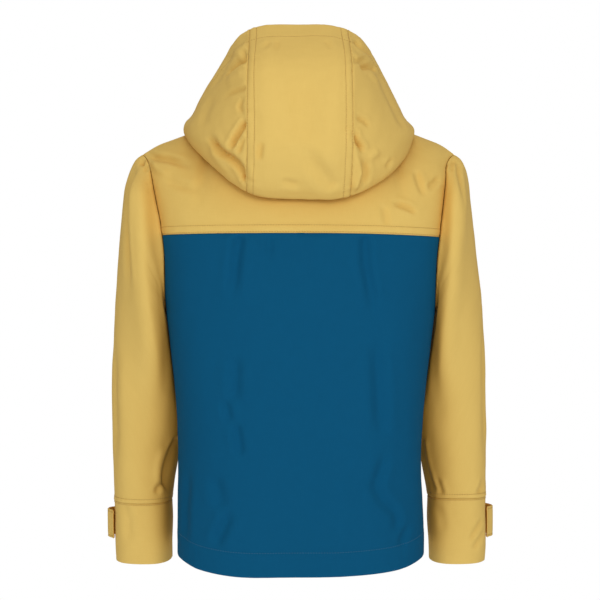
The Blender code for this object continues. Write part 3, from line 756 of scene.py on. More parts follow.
@dataclass(frozen=True)
class MetalFinish(Finish):
    """Painted zip metal, with bare metal showing where it rubs."""

    paint: tuple[float, float, float]
    bare: tuple[float, float, float]

    WEAR = (260.0, 0.6, 0.7)  # its clouds, and where in them bare metal starts and is full
    WEAR_DETAIL = 5
    SMEARS, GRAIN = 600.0, 1500.0  # clouds of its roughness and of its bump
    ROUGH = (0.2, 0.3)  # how much roughness changes, and its least value
    METALLIC = (0.5, 0.5)  # how much more bare metal has, and the paint's
    GRAIN_BUMP = {"Strength": 0.15, "Distance": 0.0001}

    def dress(self, tree: Tree, shader: Node) -> None:
        """Sets the shader's sockets.

        Args:
            tree: Of the material.
            shader: Its Principled BSDF.
        """
        place = tree.add("ShaderNodeTexCoord").outputs["Object"]
        clouds, start, full = self.WEAR
        wear = {0: tree.noise(place, clouds, self.WEAR_DETAIL), 1: start, 2: full}
        worn = tree.add("ShaderNodeMapRange", wear).outputs[0]
        bump = tree.add("ShaderNodeBump", {"Height": tree.noise(place, self.GRAIN), **self.GRAIN_BUMP})
        sockets = {
            "Base Color": tree.mix(worn, (*self.paint, 1), (*self.bare, 1)),
            "Roughness": tree.maths("MULTIPLY_ADD", tree.noise(place, self.SMEARS), *self.ROUGH),
            "Normal": bump.outputs[0],
            "Metallic": tree.maths("MULTIPLY_ADD", worn, *self.METALLIC),
        }
        tree.feed(shader, sockets)


# The yellow cloth carries painted shade: a warm tint multiplied into its colour where other cloth is close.
YELLOW = ClothFinish(
    "yellow_cotton", "yellow_cloth", (0.745, 0.550, 0.172), (0.655, 0.460, 0.128), painted_shade_tint=(0.85, 0.58, 0.27)
)
BLUE = ClothFinish(
    "blue_cotton", "blue_cloth", (0.0035, 0.092, 0.212), (0.0015, 0.070, 0.169), sheen=0.0, specular=0.06
)
TAPE = ClothFinish("zip_tape_weave", "zip_tape", (0.012, 0.06, 0.12), (0.006, 0.04, 0.09), thread=0.0006)
# The yellow thread's colour is partly its own and partly painted shade: it is darker than the cloth to stand
# in for the shadows in the needle holes along each row.
YELLOW_THREAD_PAINTED_SHADE = ThreadFinish("yellow_thread_painted_shade", "yellow_cloth", (0.43, 0.245, 0.055))
BLUE_THREAD = ThreadFinish("blue_thread", "blue_cloth", (0.02, 0.13, 0.25))
COIL = ThreadFinish("zip_coil", "zip_tape", (0.014, 0.06, 0.115))
METAL = MetalFinish("zip_paint", "zip_metal", (0.02, 0.028, 0.036), (0.35, 0.34, 0.32))


# ---------- cloth pieces
Stretch = tuple[Grid, Grid]


def relaid(lines: Grid, stretches: Sequence[Stretch], marks: Sequence[int], closed: bool) -> Grid:
    """Lines laid out anew: at set distances from their ends, in even cells between.

    Args:
        lines: Lines by points.
        stretches: For each run between marks, its set distances from its first and last end.
        marks: Numbers of the points that stay.
        closed: Whether each line ends where it starts.

    Returns:
        The new lines by their new points.
    """
    pad = 2 if closed else 0
    padded = np.concatenate([lines[:, -3:-1], lines, lines[:, 1:3]], axis=1) if closed else lines
    way = way_along(padded)
    way = way - way[:, pad : pad + 1]
    cuts = [0, *marks, lines.shape[1] - 1]
    places = []
    for number, ((head, tail), first, last) in enumerate(zip(stretches, cuts, cuts[1:])):
        start, end = way[:, first + pad, None], way[:, last + pad, None]
        room = end - start - head[-1] - tail[-1]
        count = max(1, math.ceil(room.max() / CELL))
        middle = start + head[-1] + room * np.linspace(0, 1, count + 1)
        placed = np.concatenate([start + head[:-1], middle, end - tail[:-1][::-1]], axis=1)
        places.append(placed[:, 1:] if number else placed)
    places = np.concatenate(places, axis=1)
    return np.array([spline(way[n], padded[n], place) for n, place in enumerate(places)])


@dataclass
class Cloth:
    """A cut piece of cloth: its even form, how its edges are sewn and how it hangs.

    Attributes:
        node: The solid that it stands for.
        grid: Points of the outer face, rows by columns.
        finish: Of the cloth.
        low, high: Sewing of the first and last row.
        start, end: Sewing of the first and last column.
        hang: Its creases.
        closed: Whether its last column lies on the first.
        slit: Columns on both sides of a slit that is open down to this row, all from the grid.
        slit_sewing: How the sides of the slit are sewn.
        thickness: Of the shell.
        outer, normals: Points of the finished outer face, and its outward directions.
        across, up: The cloth's own lengths at each point.
    """

    node: str
    grid: Grid
    finish: ClothFinish
    low: Sewing = SEAM
    high: Sewing = SEAM
    start: Sewing = SEAM
    end: Sewing = SEAM
    hang: Hang | None = None
    closed: bool = False
    slit: tuple[int, int, int] | None = None
    slit_sewing: Sewing = SEAM
    thickness: float = CLOTH

    SLIT_OPENS = 9.0  # distance below the slit's corner over which its sewing begins
    RIM_BULGE = 0.45  # how round a free edge is, as a share of the thickness
    SHARP = 62  # degrees past which an edge isn't smoothed

    outer: Grid = field(init=False)
    normals: Grid = field(init=False)
    across: Grid = field(init=False)
    up: Grid = field(init=False)

    def build(self) -> Object:
        """Lays out, moves and closes the piece.

        Returns:
            A shell with its finish on.
        """
        self._lay_out()
        self._move()
        cells = np.ones((self.outer.shape[0] - 1, self.outer.shape[1] - 1), bool)
        if self.slit:
            cells[self.slit_row :, self.slit_columns[0] : self.slit_columns[1]] = False
        made = self._shell(cells)
        LOG.info("%s: %d faces", made.name, len(made.data.polygons))
        return made

    def _lay_out(self) -> None:
        """Lays out the fine grid, with lines where the stitches and folds run."""
        zero = np.array([0.0])
        first, last = self.start.lines(CELL), self.end.lines(CELL)
        low, high = self.low.lines(CELL), self.high.lines(CELL)
        if self.slit:
            sewn = np.concatenate([zero, self.slit_sewing.lines(CELL)])
            columns, row = self.slit[:2], self.slit[2]
            fine = relaid(self.grid, [(first, sewn), (zero, zero), (sewn, last)], columns, False)
            rows = [(low, zero), (zero, high)]
            fine = relaid(fine.transpose(1, 0, 2), rows, [row], False).transpose(1, 0, 2)
            ends = [self.grid[-1, column] for column in columns]
            top = fine[-1]
            self.slit_columns = [int(np.linalg.norm(top - end, axis=1).argmin()) for end in ends]
            corner = self.grid[row, columns[0]]
            self.slit_row = int(np.linalg.norm(fine[:, self.slit_columns[0]] - corner, axis=1).argmin())
        else:
            fine = relaid(self.grid, [(first, last)], (), self.closed)
            fine = relaid(fine.transpose(1, 0, 2), [(low, high)], (), False).transpose(1, 0, 2)
        self.even = fine
        self.across = way_along(fine) + self.start.lines(CELL)[0]
        self.up = way_along(fine.transpose(1, 0, 2)).T + low[0]

    def _move(self) -> None:
        """Moves the fine grid along its normals, by the sewing and the creases."""
        normals = facing(self.even, self.closed)
        across, up = self.across, self.up
        edges = (
            (self.low, up, across),
            (self.high, up[-1:] + self.high.lines(CELL)[0] - up, across),
            (self.start, across, up),
            (self.end, across[:, -1:] + self.end.lines(CELL)[0] - across, up),
        )
        height, held = np.zeros_like(up), np.ones_like(up)
        self.sewn = np.zeros((*up.shape, 3))
        for number, (sewing, away, along) in enumerate(edges):
            height += sewing.relief(away, along)
            self.sewn[..., number // 2] += sewing.drawn(away)
            if not sewing.free:
                held *= smooth(away, 0, sewing.hold)
        if self.slit:
            sides = [across[:, column, None] for column in self.slit_columns]
            away = np.maximum(sides[0] - across, across - sides[1])
            open_here = smooth(up - up[self.slit_row], -self.SLIT_OPENS, 0)
            self.sewn[..., 1] += open_here * self.slit_sewing.drawn(np.abs(away))
            height += open_here * np.where(away >= 0, self.slit_sewing.relief(np.abs(away), up), 0)
            held *= 1 - open_here * (1 - smooth(away, 0, self.slit_sewing.hold))
        if self.hang:
            height += held * self.hang.relief(self.even, normals)
        self.outer = self.even + height[..., None] * normals
        self.normals = facing(self.outer, self.closed)

    def _shell(self, cells: Grid) -> Object:
        """A closed shell from the outer face, the inner face and the rim.

        Args:
            cells: Which cells of the grid are cloth.

        Returns:
            The new object.
        """
        rows, columns = self.outer.shape[:2]
        inner = self.outer - self.thickness * self.normals
        bulge = np.zeros_like(self.outer)
        for edge in EDGES:
            if getattr(self, edge).free:
                rim, inside = self.line_at(edge, 0), self.line_at(edge, 1)
                bulge[rim] = unit(self.outer[rim] - self.outer[inside]) * self.thickness * self.RIM_BULGE
        middle = (self.outer + inner) / 2 + bulge
        layer = rows * columns
        number = np.arange(layer).reshape(rows, columns)
        i, j = np.nonzero(cells)
        quads = np.stack([number[i, j], number[i, j + 1], number[i + 1, j + 1], number[i + 1, j]], axis=1)
        sides = np.concatenate([quads[:, [k, (k + 1) % 4]] for k in range(4)])
        keys = np.sort(sides, axis=1) @ (layer, 1)
        _, first, count = np.unique(keys, return_index=True, return_counts=True)
        p, q = sides[first[count == 1]].T
        rims = [
            np.stack([q, p, p + 2 * layer, q + 2 * layer], axis=1),
            np.stack([q + 2 * layer, p + 2 * layer, p + layer, q + layer], axis=1),
        ]
        faces = np.concatenate([quads, quads[:, ::-1] + layer, *rims])
        points = np.concatenate([side.reshape(-1, 3) for side in (self.outer, inner, middle)]) * MM
        used, faces = np.unique(faces, return_inverse=True)
        faces = faces.reshape(-1, 4)
        return self._mesh(points[used], faces, used % layer)

    def _mesh(self, points: Grid, faces: Grid, source: Grid) -> Object:
        """Makes the object, with the cloth's own lengths as its UV map.

        Args:
            points: In metres.
            faces: Numbers of their four points.
            source: Number of the grid's point that each point comes from.

        Returns:
            The new object.
        """
        mesh = bpy.data.meshes.new(self.node + "_cloth")
        mesh.vertices.add(len(points))
        mesh.vertices.foreach_set("co", points.ravel())
        mesh.loops.add(faces.size)
        mesh.loops.foreach_set("vertex_index", faces.ravel())
        mesh.polygons.add(len(faces))
        mesh.polygons.foreach_set("loop_start", np.arange(0, faces.size, 4))
        mesh.update(calc_edges=True)
        mesh.validate()
        middle = self.across[:, self.across.shape[1] // 2, None]
        flat = np.stack([self.across - middle, self.up], axis=-1).reshape(-1, 2) * MM
        layer = mesh.uv_layers.new(name="cloth")
        layer.data.foreach_set("uv", flat[source][faces.ravel()].ravel())
        drawn = mesh.attributes.new("sewn", "FLOAT_VECTOR", "POINT")
        drawn.data.foreach_set("vector", self.sewn.reshape(-1, 3)[source].ravel())
        mesh.shade_smooth()
        mesh.set_sharp_from_angle(angle=math.radians(self.SHARP))
        mesh.materials.append(self.finish.material())
        return linked(mesh.name, mesh)

    @staticmethod
    def line_at(edge: str, number: int) -> tuple:
        """The grid's index of a line of points.

        Args:
            edge: One of EDGES.
            number: How many lines it lies in from that edge.

        Returns:
            Its rows and columns.
        """
        along, back = slice(None), -1 - number
        places = ((number, along), (back, along), (along, number), (along, back))
        return dict(zip(EDGES, places))[edge]

    def row(self, edge: str, distance: float, trim: int) -> tuple[Grid, Grid]:
        """A line of the finished surface at a set distance from an edge.

        Args:
            edge: low, high, start or end.
            distance: From that edge.
            trim: How many points are left off at both ends.

        Returns:
            Its points and the outward directions there.
        """
        lines = getattr(self, edge).lines(CELL)
        at = int(np.abs(lines - distance).argmin())
        index = self.line_at(edge, at)
        points, normals = self.outer[index], self.normals[index]
        last = len(points) - trim
        return points[trim:last], normals[trim:last]

    def flat_size(self) -> tuple[tuple[float, float], float]:
        """The size of the flat cut, in metres.

        Returns:
            Its width and length, and its area.
        """
        width, length = (self.across[:, -1]).max() * MM, self.up[-1].max() * MM
        a, b = np.diff(self.even, axis=0)[:, :-1], np.diff(self.even, axis=1)[:-1]
        area = np.linalg.norm(np.cross(a, b), axis=-1)
        if self.slit:
            area[self.slit_row :, self.slit_columns[0] : self.slit_columns[1]] = 0
        return (float(width), float(length)), float(area.sum() * MM * MM)

    def declare(self, made: Object, held: str, rests_on: Sequence[str]) -> None:
        """Hangs the finished piece on the garment and hides the solid that it stands for; the size of
        its flat cut is worked out but goes nowhere.

        Args:
            made: The finished piece.
            held: Hung or draped; not used.
            rests_on: Nodes that hold it; not used.
        """
        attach(made, GARMENT)
        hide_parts(self.node)
        (width, length), area = self.flat_size()


# ---------- body and yokes
@dataclass
class Torso:
    """The body and the yokes over it: back, front and the two sides of the zip."""

    hem_side: float = -563.5
    hem_back: float = -580.5
    hem_front: float = -568.0
    armpit: float = -250.0
    armpit_sag: float = 14.0
    yoke_seam: float = -158.5
    neck_half: float = 80.0
    neck_back: tuple[float, float] = (70.0, -15.0)
    neck_front: tuple[float, float] = (-75.0, -70.0)
    neck_squareness: float = 2.3
    neck_dip: float = 1.3
    # How steeply a yoke reaches its upper edge, at the middle and past the neck, and the x between.
    middle_climb: float = 1.1
    shoulder_climb: float = 0.3
    neck_climb_x: tuple[float, float] = (35.0, 95.0)
    armhole_back: float = 57.0
    armhole_front: float = -46.0
    back_squareness: float = 2.5
    front_squareness: float = 2.15
    zip_half: float = 7.3
    side_rows: int = 9
    armhole_rows: int = 6
    yoke_rows: int = 7
    shoulder_cells: int = 6
    front_neck_cells: int = 7
    neck_share: float = 0.58
    zip_rows: int = 4
    back_neck_x: tuple[float, ...] = (0.0, 20.0, 40.0, 60.0, 66.5, 72.0, 76.5, 79.2, 80.0)
    # x, height
    shoulder: tuple = ((80.0, 0.0), (120.0, -14.0), (160.0, -29.0), (190.0, -41.5), (204.0, -50.5))
    # height, half_width, widest_y, back_depth, front_depth
    sections: tuple = (
        (-585.0, 158.5, 10.0, 87.0, 101.0),
        (-520.0, 157.5, 10.0, 88.0, 103.0),
        (-430.0, 156.0, 11.0, 89.0, 105.0),
        (-370.0, 159.5, 12.0, 91.0, 108.0),
        (-307.0, 166.0, 14.0, 94.0, 112.0),
        (-250.0, 172.5, 15.0, 97.0, 114.0),
        (-200.0, 177.5, 16.0, 98.0, 115.0),
        (-158.5, 180.5, 17.0, 97.0, 114.0),
    )

    def __post_init__(self) -> None:
        """Works out the even form of the four pieces."""
        self.back_body, self.front_body = self.half_body(False), self.half_body(True)
        self.back_yoke = self.half_yoke(False, self.back_body)
        self.front_yoke = self.half_yoke(True, self.front_body)

    def sizes(self, height: Grid) -> Grid:
        """Half width, widest line, back depth and front depth of the body at these heights."""
        rows = np.array(self.sections)
        return spline(rows[:, 0], rows[:, 1:], np.minimum(height, rows[-1, 0])).T

    def point(self, angle: Grid, height: Grid, front: bool) -> Grid:
        """A point of the section.

        Args:
            angle: From the middle of the back or front to the side.
            height: Of the section.
            front: Whether it is in front.

        Returns:
            The point.
        """
        half_width, widest_y, back_depth, front_depth = self.sizes(height)
        power = 2 / (self.front_squareness if front else self.back_squareness)
        depth = -front_depth if front else back_depth
        x = half_width * np.sign(angle) * np.abs(np.sin(angle)) ** power
        y = widest_y + depth * np.abs(np.cos(angle)) ** power
        return np.stack([x, y, height], axis=-1)

    def angle_of_x(self, x: Grid, height: Grid) -> Grid:
        """The angle at which the front of the body is x from the middle plane."""
        return np.arcsin(np.clip(x / self.sizes(height)[0], 0, 1) ** (self.front_squareness / 2))

    def angle_of_y(self, y: Grid, height: Grid, front: bool) -> Grid:
        """The angle at which the body's wall is at y.

        Args:
            y: From the front to the back.
            height: Of the section.
            front: Whether it is in front.

        Returns:
            The angle from the middle of the back or front.
        """
        _, widest_y, back_depth, front_depth = self.sizes(height)
        depth = -front_depth if front else back_depth
        power = (self.front_squareness if front else self.back_squareness) / 2
        return np.arccos(np.clip((y - widest_y) / depth, 0, 1) ** power)

    def edge_rows(self, front: bool) -> tuple[Grid, Grid]:
        """The side edge in each row: side seam, then armhole.

        Args:
            front: Whether it is that of the front.

        Returns:
            Its heights and its angles.
        """
        side = np.linspace(self.hem_side, self.armpit, self.side_rows + 1)
        turn = np.linspace(0, math.pi / 2, self.armhole_rows + 1)[1:]
        armhole = self.yoke_seam - (self.yoke_seam - self.armpit) * np.cos(turn)
        reach = self.armhole_front if front else self.armhole_back
        widest = self.sizes(armhole)[1]
        angle = self.angle_of_y(widest + (reach - widest) * np.sin(turn), armhole, front)
        return np.concatenate([side, armhole]), np.concatenate([np.full(len(side), math.pi / 2), angle])

    def centre_rows(self, front: bool) -> Grid:
        """Height of each row at the middle of the piece.

        Args:
            front: Whether it is the front.

        Returns:
            The rising heights.
        """
        hem, level = self.hem_front if front else self.hem_back, self.armpit - self.armpit_sag
        side = np.linspace(hem, level, self.side_rows + 1)
        return np.concatenate([side, np.linspace(level, self.yoke_seam, self.armhole_rows + 1)[1:]])

    def neck_point(self, x: Grid, front: bool) -> Grid:
        """A point of the neck seam.

        Args:
            x: From the middle out to the shoulder seam.
            front: Whether it is in front.

        Returns:
            The point.
        """
        end_y, end_z = self.neck_front if front else self.neck_back
        share = 1 - np.clip(np.abs(x) / self.neck_half, 0, 1) ** self.neck_squareness
        share = share ** (1 / self.neck_squareness)
        return np.stack([x, end_y * share, end_z * share**self.neck_dip], axis=-1)

    def shoulder_points(self) -> Grid:
        """The shoulder seam.

        Returns:
            Its points from the neck out to the sleeve, neck point left out.
        """
        x = np.linspace(self.neck_half, self.shoulder[-1][0], self.shoulder_cells + 1)[1:]
        height = spline([row[0] for row in self.shoulder], [row[1] for row in self.shoulder], x)[:, 0]
        return np.stack([x, 0 * x, height], axis=-1)

    def half_body(self, front: bool) -> Grid:
        """The left half of a body piece.

        Args:
            front: Whether it is the front.

        Returns:
            Its rows from the hem up to the yoke seam.
        """
        cells = self.front_neck_cells if front else len(self.back_neck_x) - 1
        neck = np.linspace(0, self.neck_share, cells + 1)
        share = np.concatenate([neck, np.linspace(self.neck_share, 1, self.shoulder_cells + 1)[1:]])
        rows = []
        for edge_z, edge_angle, middle_z in zip(*self.edge_rows(front), self.centre_rows(front)):
            z = middle_z + (edge_z - middle_z) * share**2
            first = self.angle_of_x(np.full_like(z, self.zip_half), z) if front else 0
            rows.append(self.point(first + (edge_angle - first) * share, z, front))
        return np.array(rows)

    def half_yoke(self, front: bool, lower: Grid) -> Grid:
        """Half of a yoke: each column bends from the yoke seam to the shoulder seam or the neck.

        Args:
            front: Whether it is a front one.
            lower: The half body below it.

        Returns:
            Its rows from the yoke seam up.
        """
        neck_x = np.array(self.back_neck_x)
        if front:
            turn = np.linspace(0, math.pi / 2, self.front_neck_cells + 1)
            neck_x = self.zip_half + (self.neck_half - self.zip_half) * np.sin(turn)
        upper = np.concatenate([self.neck_point(neck_x, front), self.shoulder_points()])
        bottom = lower[-1]
        rise = unit(bottom - lower[-2])
        reach = np.linalg.norm(upper - bottom, axis=-1, keepdims=True)
        near, far = self.neck_climb_x
        sideways = np.clip((upper[:, 0] - near) / (far - near), 0, 1)
        arrive = upper - bottom
        climb = self.middle_climb + (self.shoulder_climb - self.middle_climb) * sideways
        arrive[:, 2] = np.hypot(arrive[:, 0], arrive[:, 1]) * climb
        arrive = unit(arrive)
        shares = np.linspace(0, 1, self.yoke_rows + 1)
        return np.array([hermite(share, bottom, rise, upper, arrive, reach) for share in shares])

    def neck_seam(self) -> Grid:
        """The neck seam.

        Returns:
            Its points from the right front edge round the back to the left one.
        """
        back = self.back_yoke[-1, : len(self.back_neck_x)]
        side = np.concatenate([back, self.front_yoke[-1, : self.front_neck_cells][::-1]])
        return np.concatenate([mirrored(side)[:0:-1], side])

    def armhole(self) -> tuple[Grid, int]:
        """The armhole.

        Returns:
            Its points from the shoulder down the back and up the front, and the lowest one's number.
        """
        lowest = self.side_rows
        back = np.concatenate([self.back_yoke[::-1, -1], self.back_body[-2 : lowest - 1 : -1, -1]])
        front = np.concatenate([self.front_body[lowest + 1 :, -1], self.front_yoke[1:-1, -1]])
        return np.concatenate([back, front]), len(back) - 1

    def yokes(self) -> tuple[Grid, Grid, Grid]:
        """Back, left front and right front yoke, each with its outer side outwards."""
        return both_halves(self.back_yoke)[:, ::-1], self.front_yoke, mirrored(self.front_yoke)[:, ::-1]

    def zip_edge(self) -> Grid:
        """The left edge of the zip opening, from the foot of the slit to the neck seam."""
        rows = len(self.front_body)
        return np.concatenate([self.front_body[rows - 1 - self.zip_rows :, 0], self.front_yoke[1:, 0]])

    def pieces(self) -> list[Cloth]:
        """The cloth pieces of the body.

        Returns:
            Back and front body, and the three yokes.
        """
        hem = Sewing(rows=(30.0,), band=31.0, rise=0.35, free=True, pucker=0.12, seed=0.9)
        top = Sewing(hold=6, pucker=0.16, seed=2.1)
        foot = Sewing(rows=(2.0, 10.0), band=10.7, rise=0.55, hold=7, pucker=0.2, seed=1.3)
        body = dict(finish=BLUE, low=hem, high=top, hang=BODY_HANG)
        yoke = dict(finish=YELLOW, low=foot, high=SEAM, hang=YOKE_HANG)
        rows, half = len(self.front_body), self.front_body.shape[1]
        slit = (half - 1, half, rows - 1 - self.zip_rows)
        front = askew(both_halves(self.front_body))
        yokes = [askew(part) for part in self.yokes()]
        return [
            Cloth("back_body", askew(both_halves(self.back_body))[:, ::-1], **body),
            Cloth("front_body", front, slit=slit, slit_sewing=PLACKET, **body),
            Cloth("back_yoke", yokes[0], start=ARMHOLE, end=ARMHOLE, **yoke),
            Cloth("front_yoke_left", yokes[1], start=PLACKET, end=ARMHOLE, **yoke),
            Cloth("front_yoke_right", yokes[2], start=ARMHOLE, end=replace(PLACKET, seed=2.7), **yoke),
        ]


# ---------- sleeves
@dataclass
class Sleeves:
    """Both sleeves with their cuffs and cuff tabs, hung on the torso's armholes."""

    torso: Torso
    squareness: float = 2.2
    clearance: float = 3.5
    clearance_ramp: float = 3.2
    armhole_fade: float = 6.0
    sleeve_rows: int = 17
    cuff_rows: int = 4
    tab_heights: tuple[float, float] = (-553.0, -516.0)
    tab_thickness: float = 2.2
    tab_rows: int = 2
    step: float = 0.01
    # outer_x, outer_z, inner_x, inner_z, centre_y, half_depth, inner_back
    sleeve: tuple = (
        (204.0, -50.5, 172.5, -250.0, 6.0, 52.0, 2.2),
        (216.5, -62.0, 173.0, -252.5, 4.0, 56.0, 2.2),
        (226.0, -90.0, 172.0, -256.0, 1.0, 59.0, 2.2),
        (231.5, -126.0, 169.0, -263.0, -4.0, 60.0, 2.2),
        (236.0, -166.0, 165.0, -273.0, -9.0, 60.0, 2.2),
        (240.0, -210.0, 160.0, -287.0, -15.0, 59.0, 2.1),
        (243.5, -256.0, 156.0, -307.0, -21.0, 57.0, 2.0),
        (246.0, -304.0, 152.0, -334.0, -27.0, 55.0, 1.8),
        (248.0, -352.0, 150.0, -367.0, -32.0, 52.0, 1.7),
        (248.0, -400.0, 152.0, -405.0, -36.0, 48.0, 1.75),
        (248.0, -452.0, 162.0, -452.0, -39.0, 45.0, 1.9),
        (247.0, -502.0, 170.0, -502.0, -41.0, 42.0, 2.7),
    )
    cuff: tuple = (
        (247.0, -502.0, 170.0, -502.0, -41.0, 42.0, 2.7),
        (247.0, -530.0, 169.5, -530.0, -42.0, 41.0, 2.8),
        (246.5, -557.0, 171.0, -557.0, -42.0, 40.5, 2.8),
        (245.0, -583.5, 172.0, -583.5, -42.0, 40.0, 2.8),
    )
    # turn from the outer side towards the back in degrees, stand_off
    tab: tuple = (
        (-100.0, 3.0), (-82.0, 3.0), (-66.0, 3.0), (-50.0, 3.2), (-36.0, 4.0), (-25.0, 6.3),
        (-16.0, 9.0), (-8.0, 10.2), (0.0, 9.2), (7.0, 5.6), (12.0, 3.2), (18.0, 3.0),
    )

    def ring(self, sizes: Grid, turn: Grid) -> Grid:
        """A ring of the sleeve.

        Args:
            sizes: A row of the table; the last, inner_back, is how square the inner back quarter is.
            turn: 0 on the outer side, and running over the back.

        Returns:
            A point for each turn.
        """
        outer_x, outer_z, inner_x, inner_z, centre_y, half_depth, inner_back = sizes
        inside = (np.cos(turn) < 0) & (np.sin(turn) > 0)
        power = 2 / np.where(inside, inner_back, self.squareness)
        along = np.sign(np.cos(turn)) * np.abs(np.cos(turn)) ** power
        across = np.sign(np.sin(turn)) * np.abs(np.sin(turn)) ** power
        x = (outer_x + inner_x) / 2 + (outer_x - inner_x) / 2 * along
        z = (outer_z + inner_z) / 2 + (outer_z - inner_z) / 2 * along
        return np.stack([x, centre_y + half_depth * across, z], axis=-1)

    def kept_clear(self, points: Grid, clearance: float) -> Grid:
        """Sleeve points pushed out where they would touch the side of the body.

        Args:
            points: Of a ring.
            clearance: That they keep.

        Returns:
            The moved points.
        """
        torso = self.torso
        x, y, z = points.T
        half_width, widest_y, back_depth, front_depth = torso.sizes(z)
        behind = y > widest_y
        depth = np.where(behind, back_depth, front_depth)
        power = np.where(behind, torso.back_squareness, torso.front_squareness)
        share = np.clip(np.abs(y - widest_y) / depth, 0, 1)
        wall = half_width * (1 - share**power) ** (1 / power)
        return np.stack([np.maximum(x, wall + clearance), y, z], axis=-1)

    def rings(self) -> tuple[Grid, Grid]:
        """The left sleeve and the cuff below it.

        Returns:
            Each as rows of rings that start at the underarm.
        """
        loop, lowest = self.torso.armhole()
        way = way_along(np.concatenate([loop, loop[:1]])[None])[0]
        down = way[: lowest + 1] / way[lowest] * math.pi
        up = math.pi + (way[lowest + 1 : -1] - way[lowest]) / (way[-1] - way[lowest]) * math.pi
        turns = np.concatenate([down, up])
        table = np.array(self.sleeve)
        places = np.linspace(0, len(table) - 1, self.sleeve_rows + 1)
        misfit = loop - self.ring(table[0], turns)
        rows = []
        for place, sizes in zip(places, spline(np.arange(len(table)), table, places)):
            ring = self.ring(sizes, turns) + misfit * max(0.0, 1 - place / self.armhole_fade) ** 2
            gap = min(self.clearance, self.clearance_ramp * place)
            rows.append(self.kept_clear(ring, gap) if place else loop)
        table = np.array(self.cuff)
        places = np.linspace(0, len(table) - 1, self.cuff_rows + 1)[1:]
        cuff = [rows[-1]] + [self.ring(s, turns) for s in spline(np.arange(len(table)), table, places)]
        return tuple(np.roll(part, -lowest, axis=1) for part in (np.array(rows), np.array(cuff)))

    def tab_grid(self) -> Grid:
        """The cuff tab, which lies on the cuff's front and loops out at the outer side.

        Returns:
            Points of its outer face.
        """
        table = np.array(self.cuff)
        turns = np.radians([row[0] for row in self.tab])
        out = np.array([row[1] for row in self.tab])
        rows = []
        for height in np.linspace(*self.tab_heights, self.tab_rows + 1):
            sizes = spline(-table[:, 1], table, [-height])[0]
            along = unit(self.ring(sizes, turns + self.step) - self.ring(sizes, turns - self.step))
            outward = np.stack([along[:, 1], -along[:, 0], np.zeros(len(self.tab))], axis=1)
            rows.append(self.ring(sizes, turns) + out[:, None] * outward)
        return np.array(rows)

    def pieces(self) -> list[Cloth]:
        """The cloth pieces of both sleeves. A sleeve's first row is at the armhole, its last at the cuff.

        Returns:
            Sleeve, cuff and cuff tab of each side.
        """
        sleeve, cuff = self.rings()
        tab = self.tab_grid()
        underarm = Sewing(hold=5)
        foot = Sewing(rows=(6.0,), band=6.6, rise=0.35, hold=9, pucker=0.16, seed=0.6)
        cuff_top = Sewing(rows=(1.6,), band=2.4, rise=0.3, hold=3, pucker=0.12, seed=1.7)
        cuff_end = Sewing(free=True, band=20.0, rise=0.1)
        tab_edges = dict(finish=YELLOW, **dict.fromkeys(EDGES, Sewing(rows=(2.0,), free=True)))
        found = []
        for side, x, hang in (("left", 1, LEFT_SLEEVE_HANG), ("right", -1, RIGHT_SLEEVE_HANG)):
            parts = []
            for part in (sleeve, cuff, tab):
                closed = part is not tab
                whole = np.concatenate([part, part[:, :1]], axis=1) if closed else part
                # Rows run down the arm but up the tab, so their columns run opposite ways round.
                turned = whole[:, ::-1] if (x > 0) == closed else whole
                parts.append(askew(turned * np.array([x, 1, 1])))
            sleeve_grid, cuff_grid, tab_grid = parts
            seams = dict(start=underarm, end=underarm, closed=True, hang=hang, finish=YELLOW)
            found += [
                Cloth(f"sleeve_{side}", sleeve_grid, low=SLEEVE_HEAD, high=foot, **seams),
                Cloth(f"cuff_{side}", cuff_grid, low=cuff_top, high=cuff_end, **seams),
                Cloth(f"cuff_tab_{side}", tab_grid, thickness=self.tab_thickness, **tab_edges),
            ]
        return found


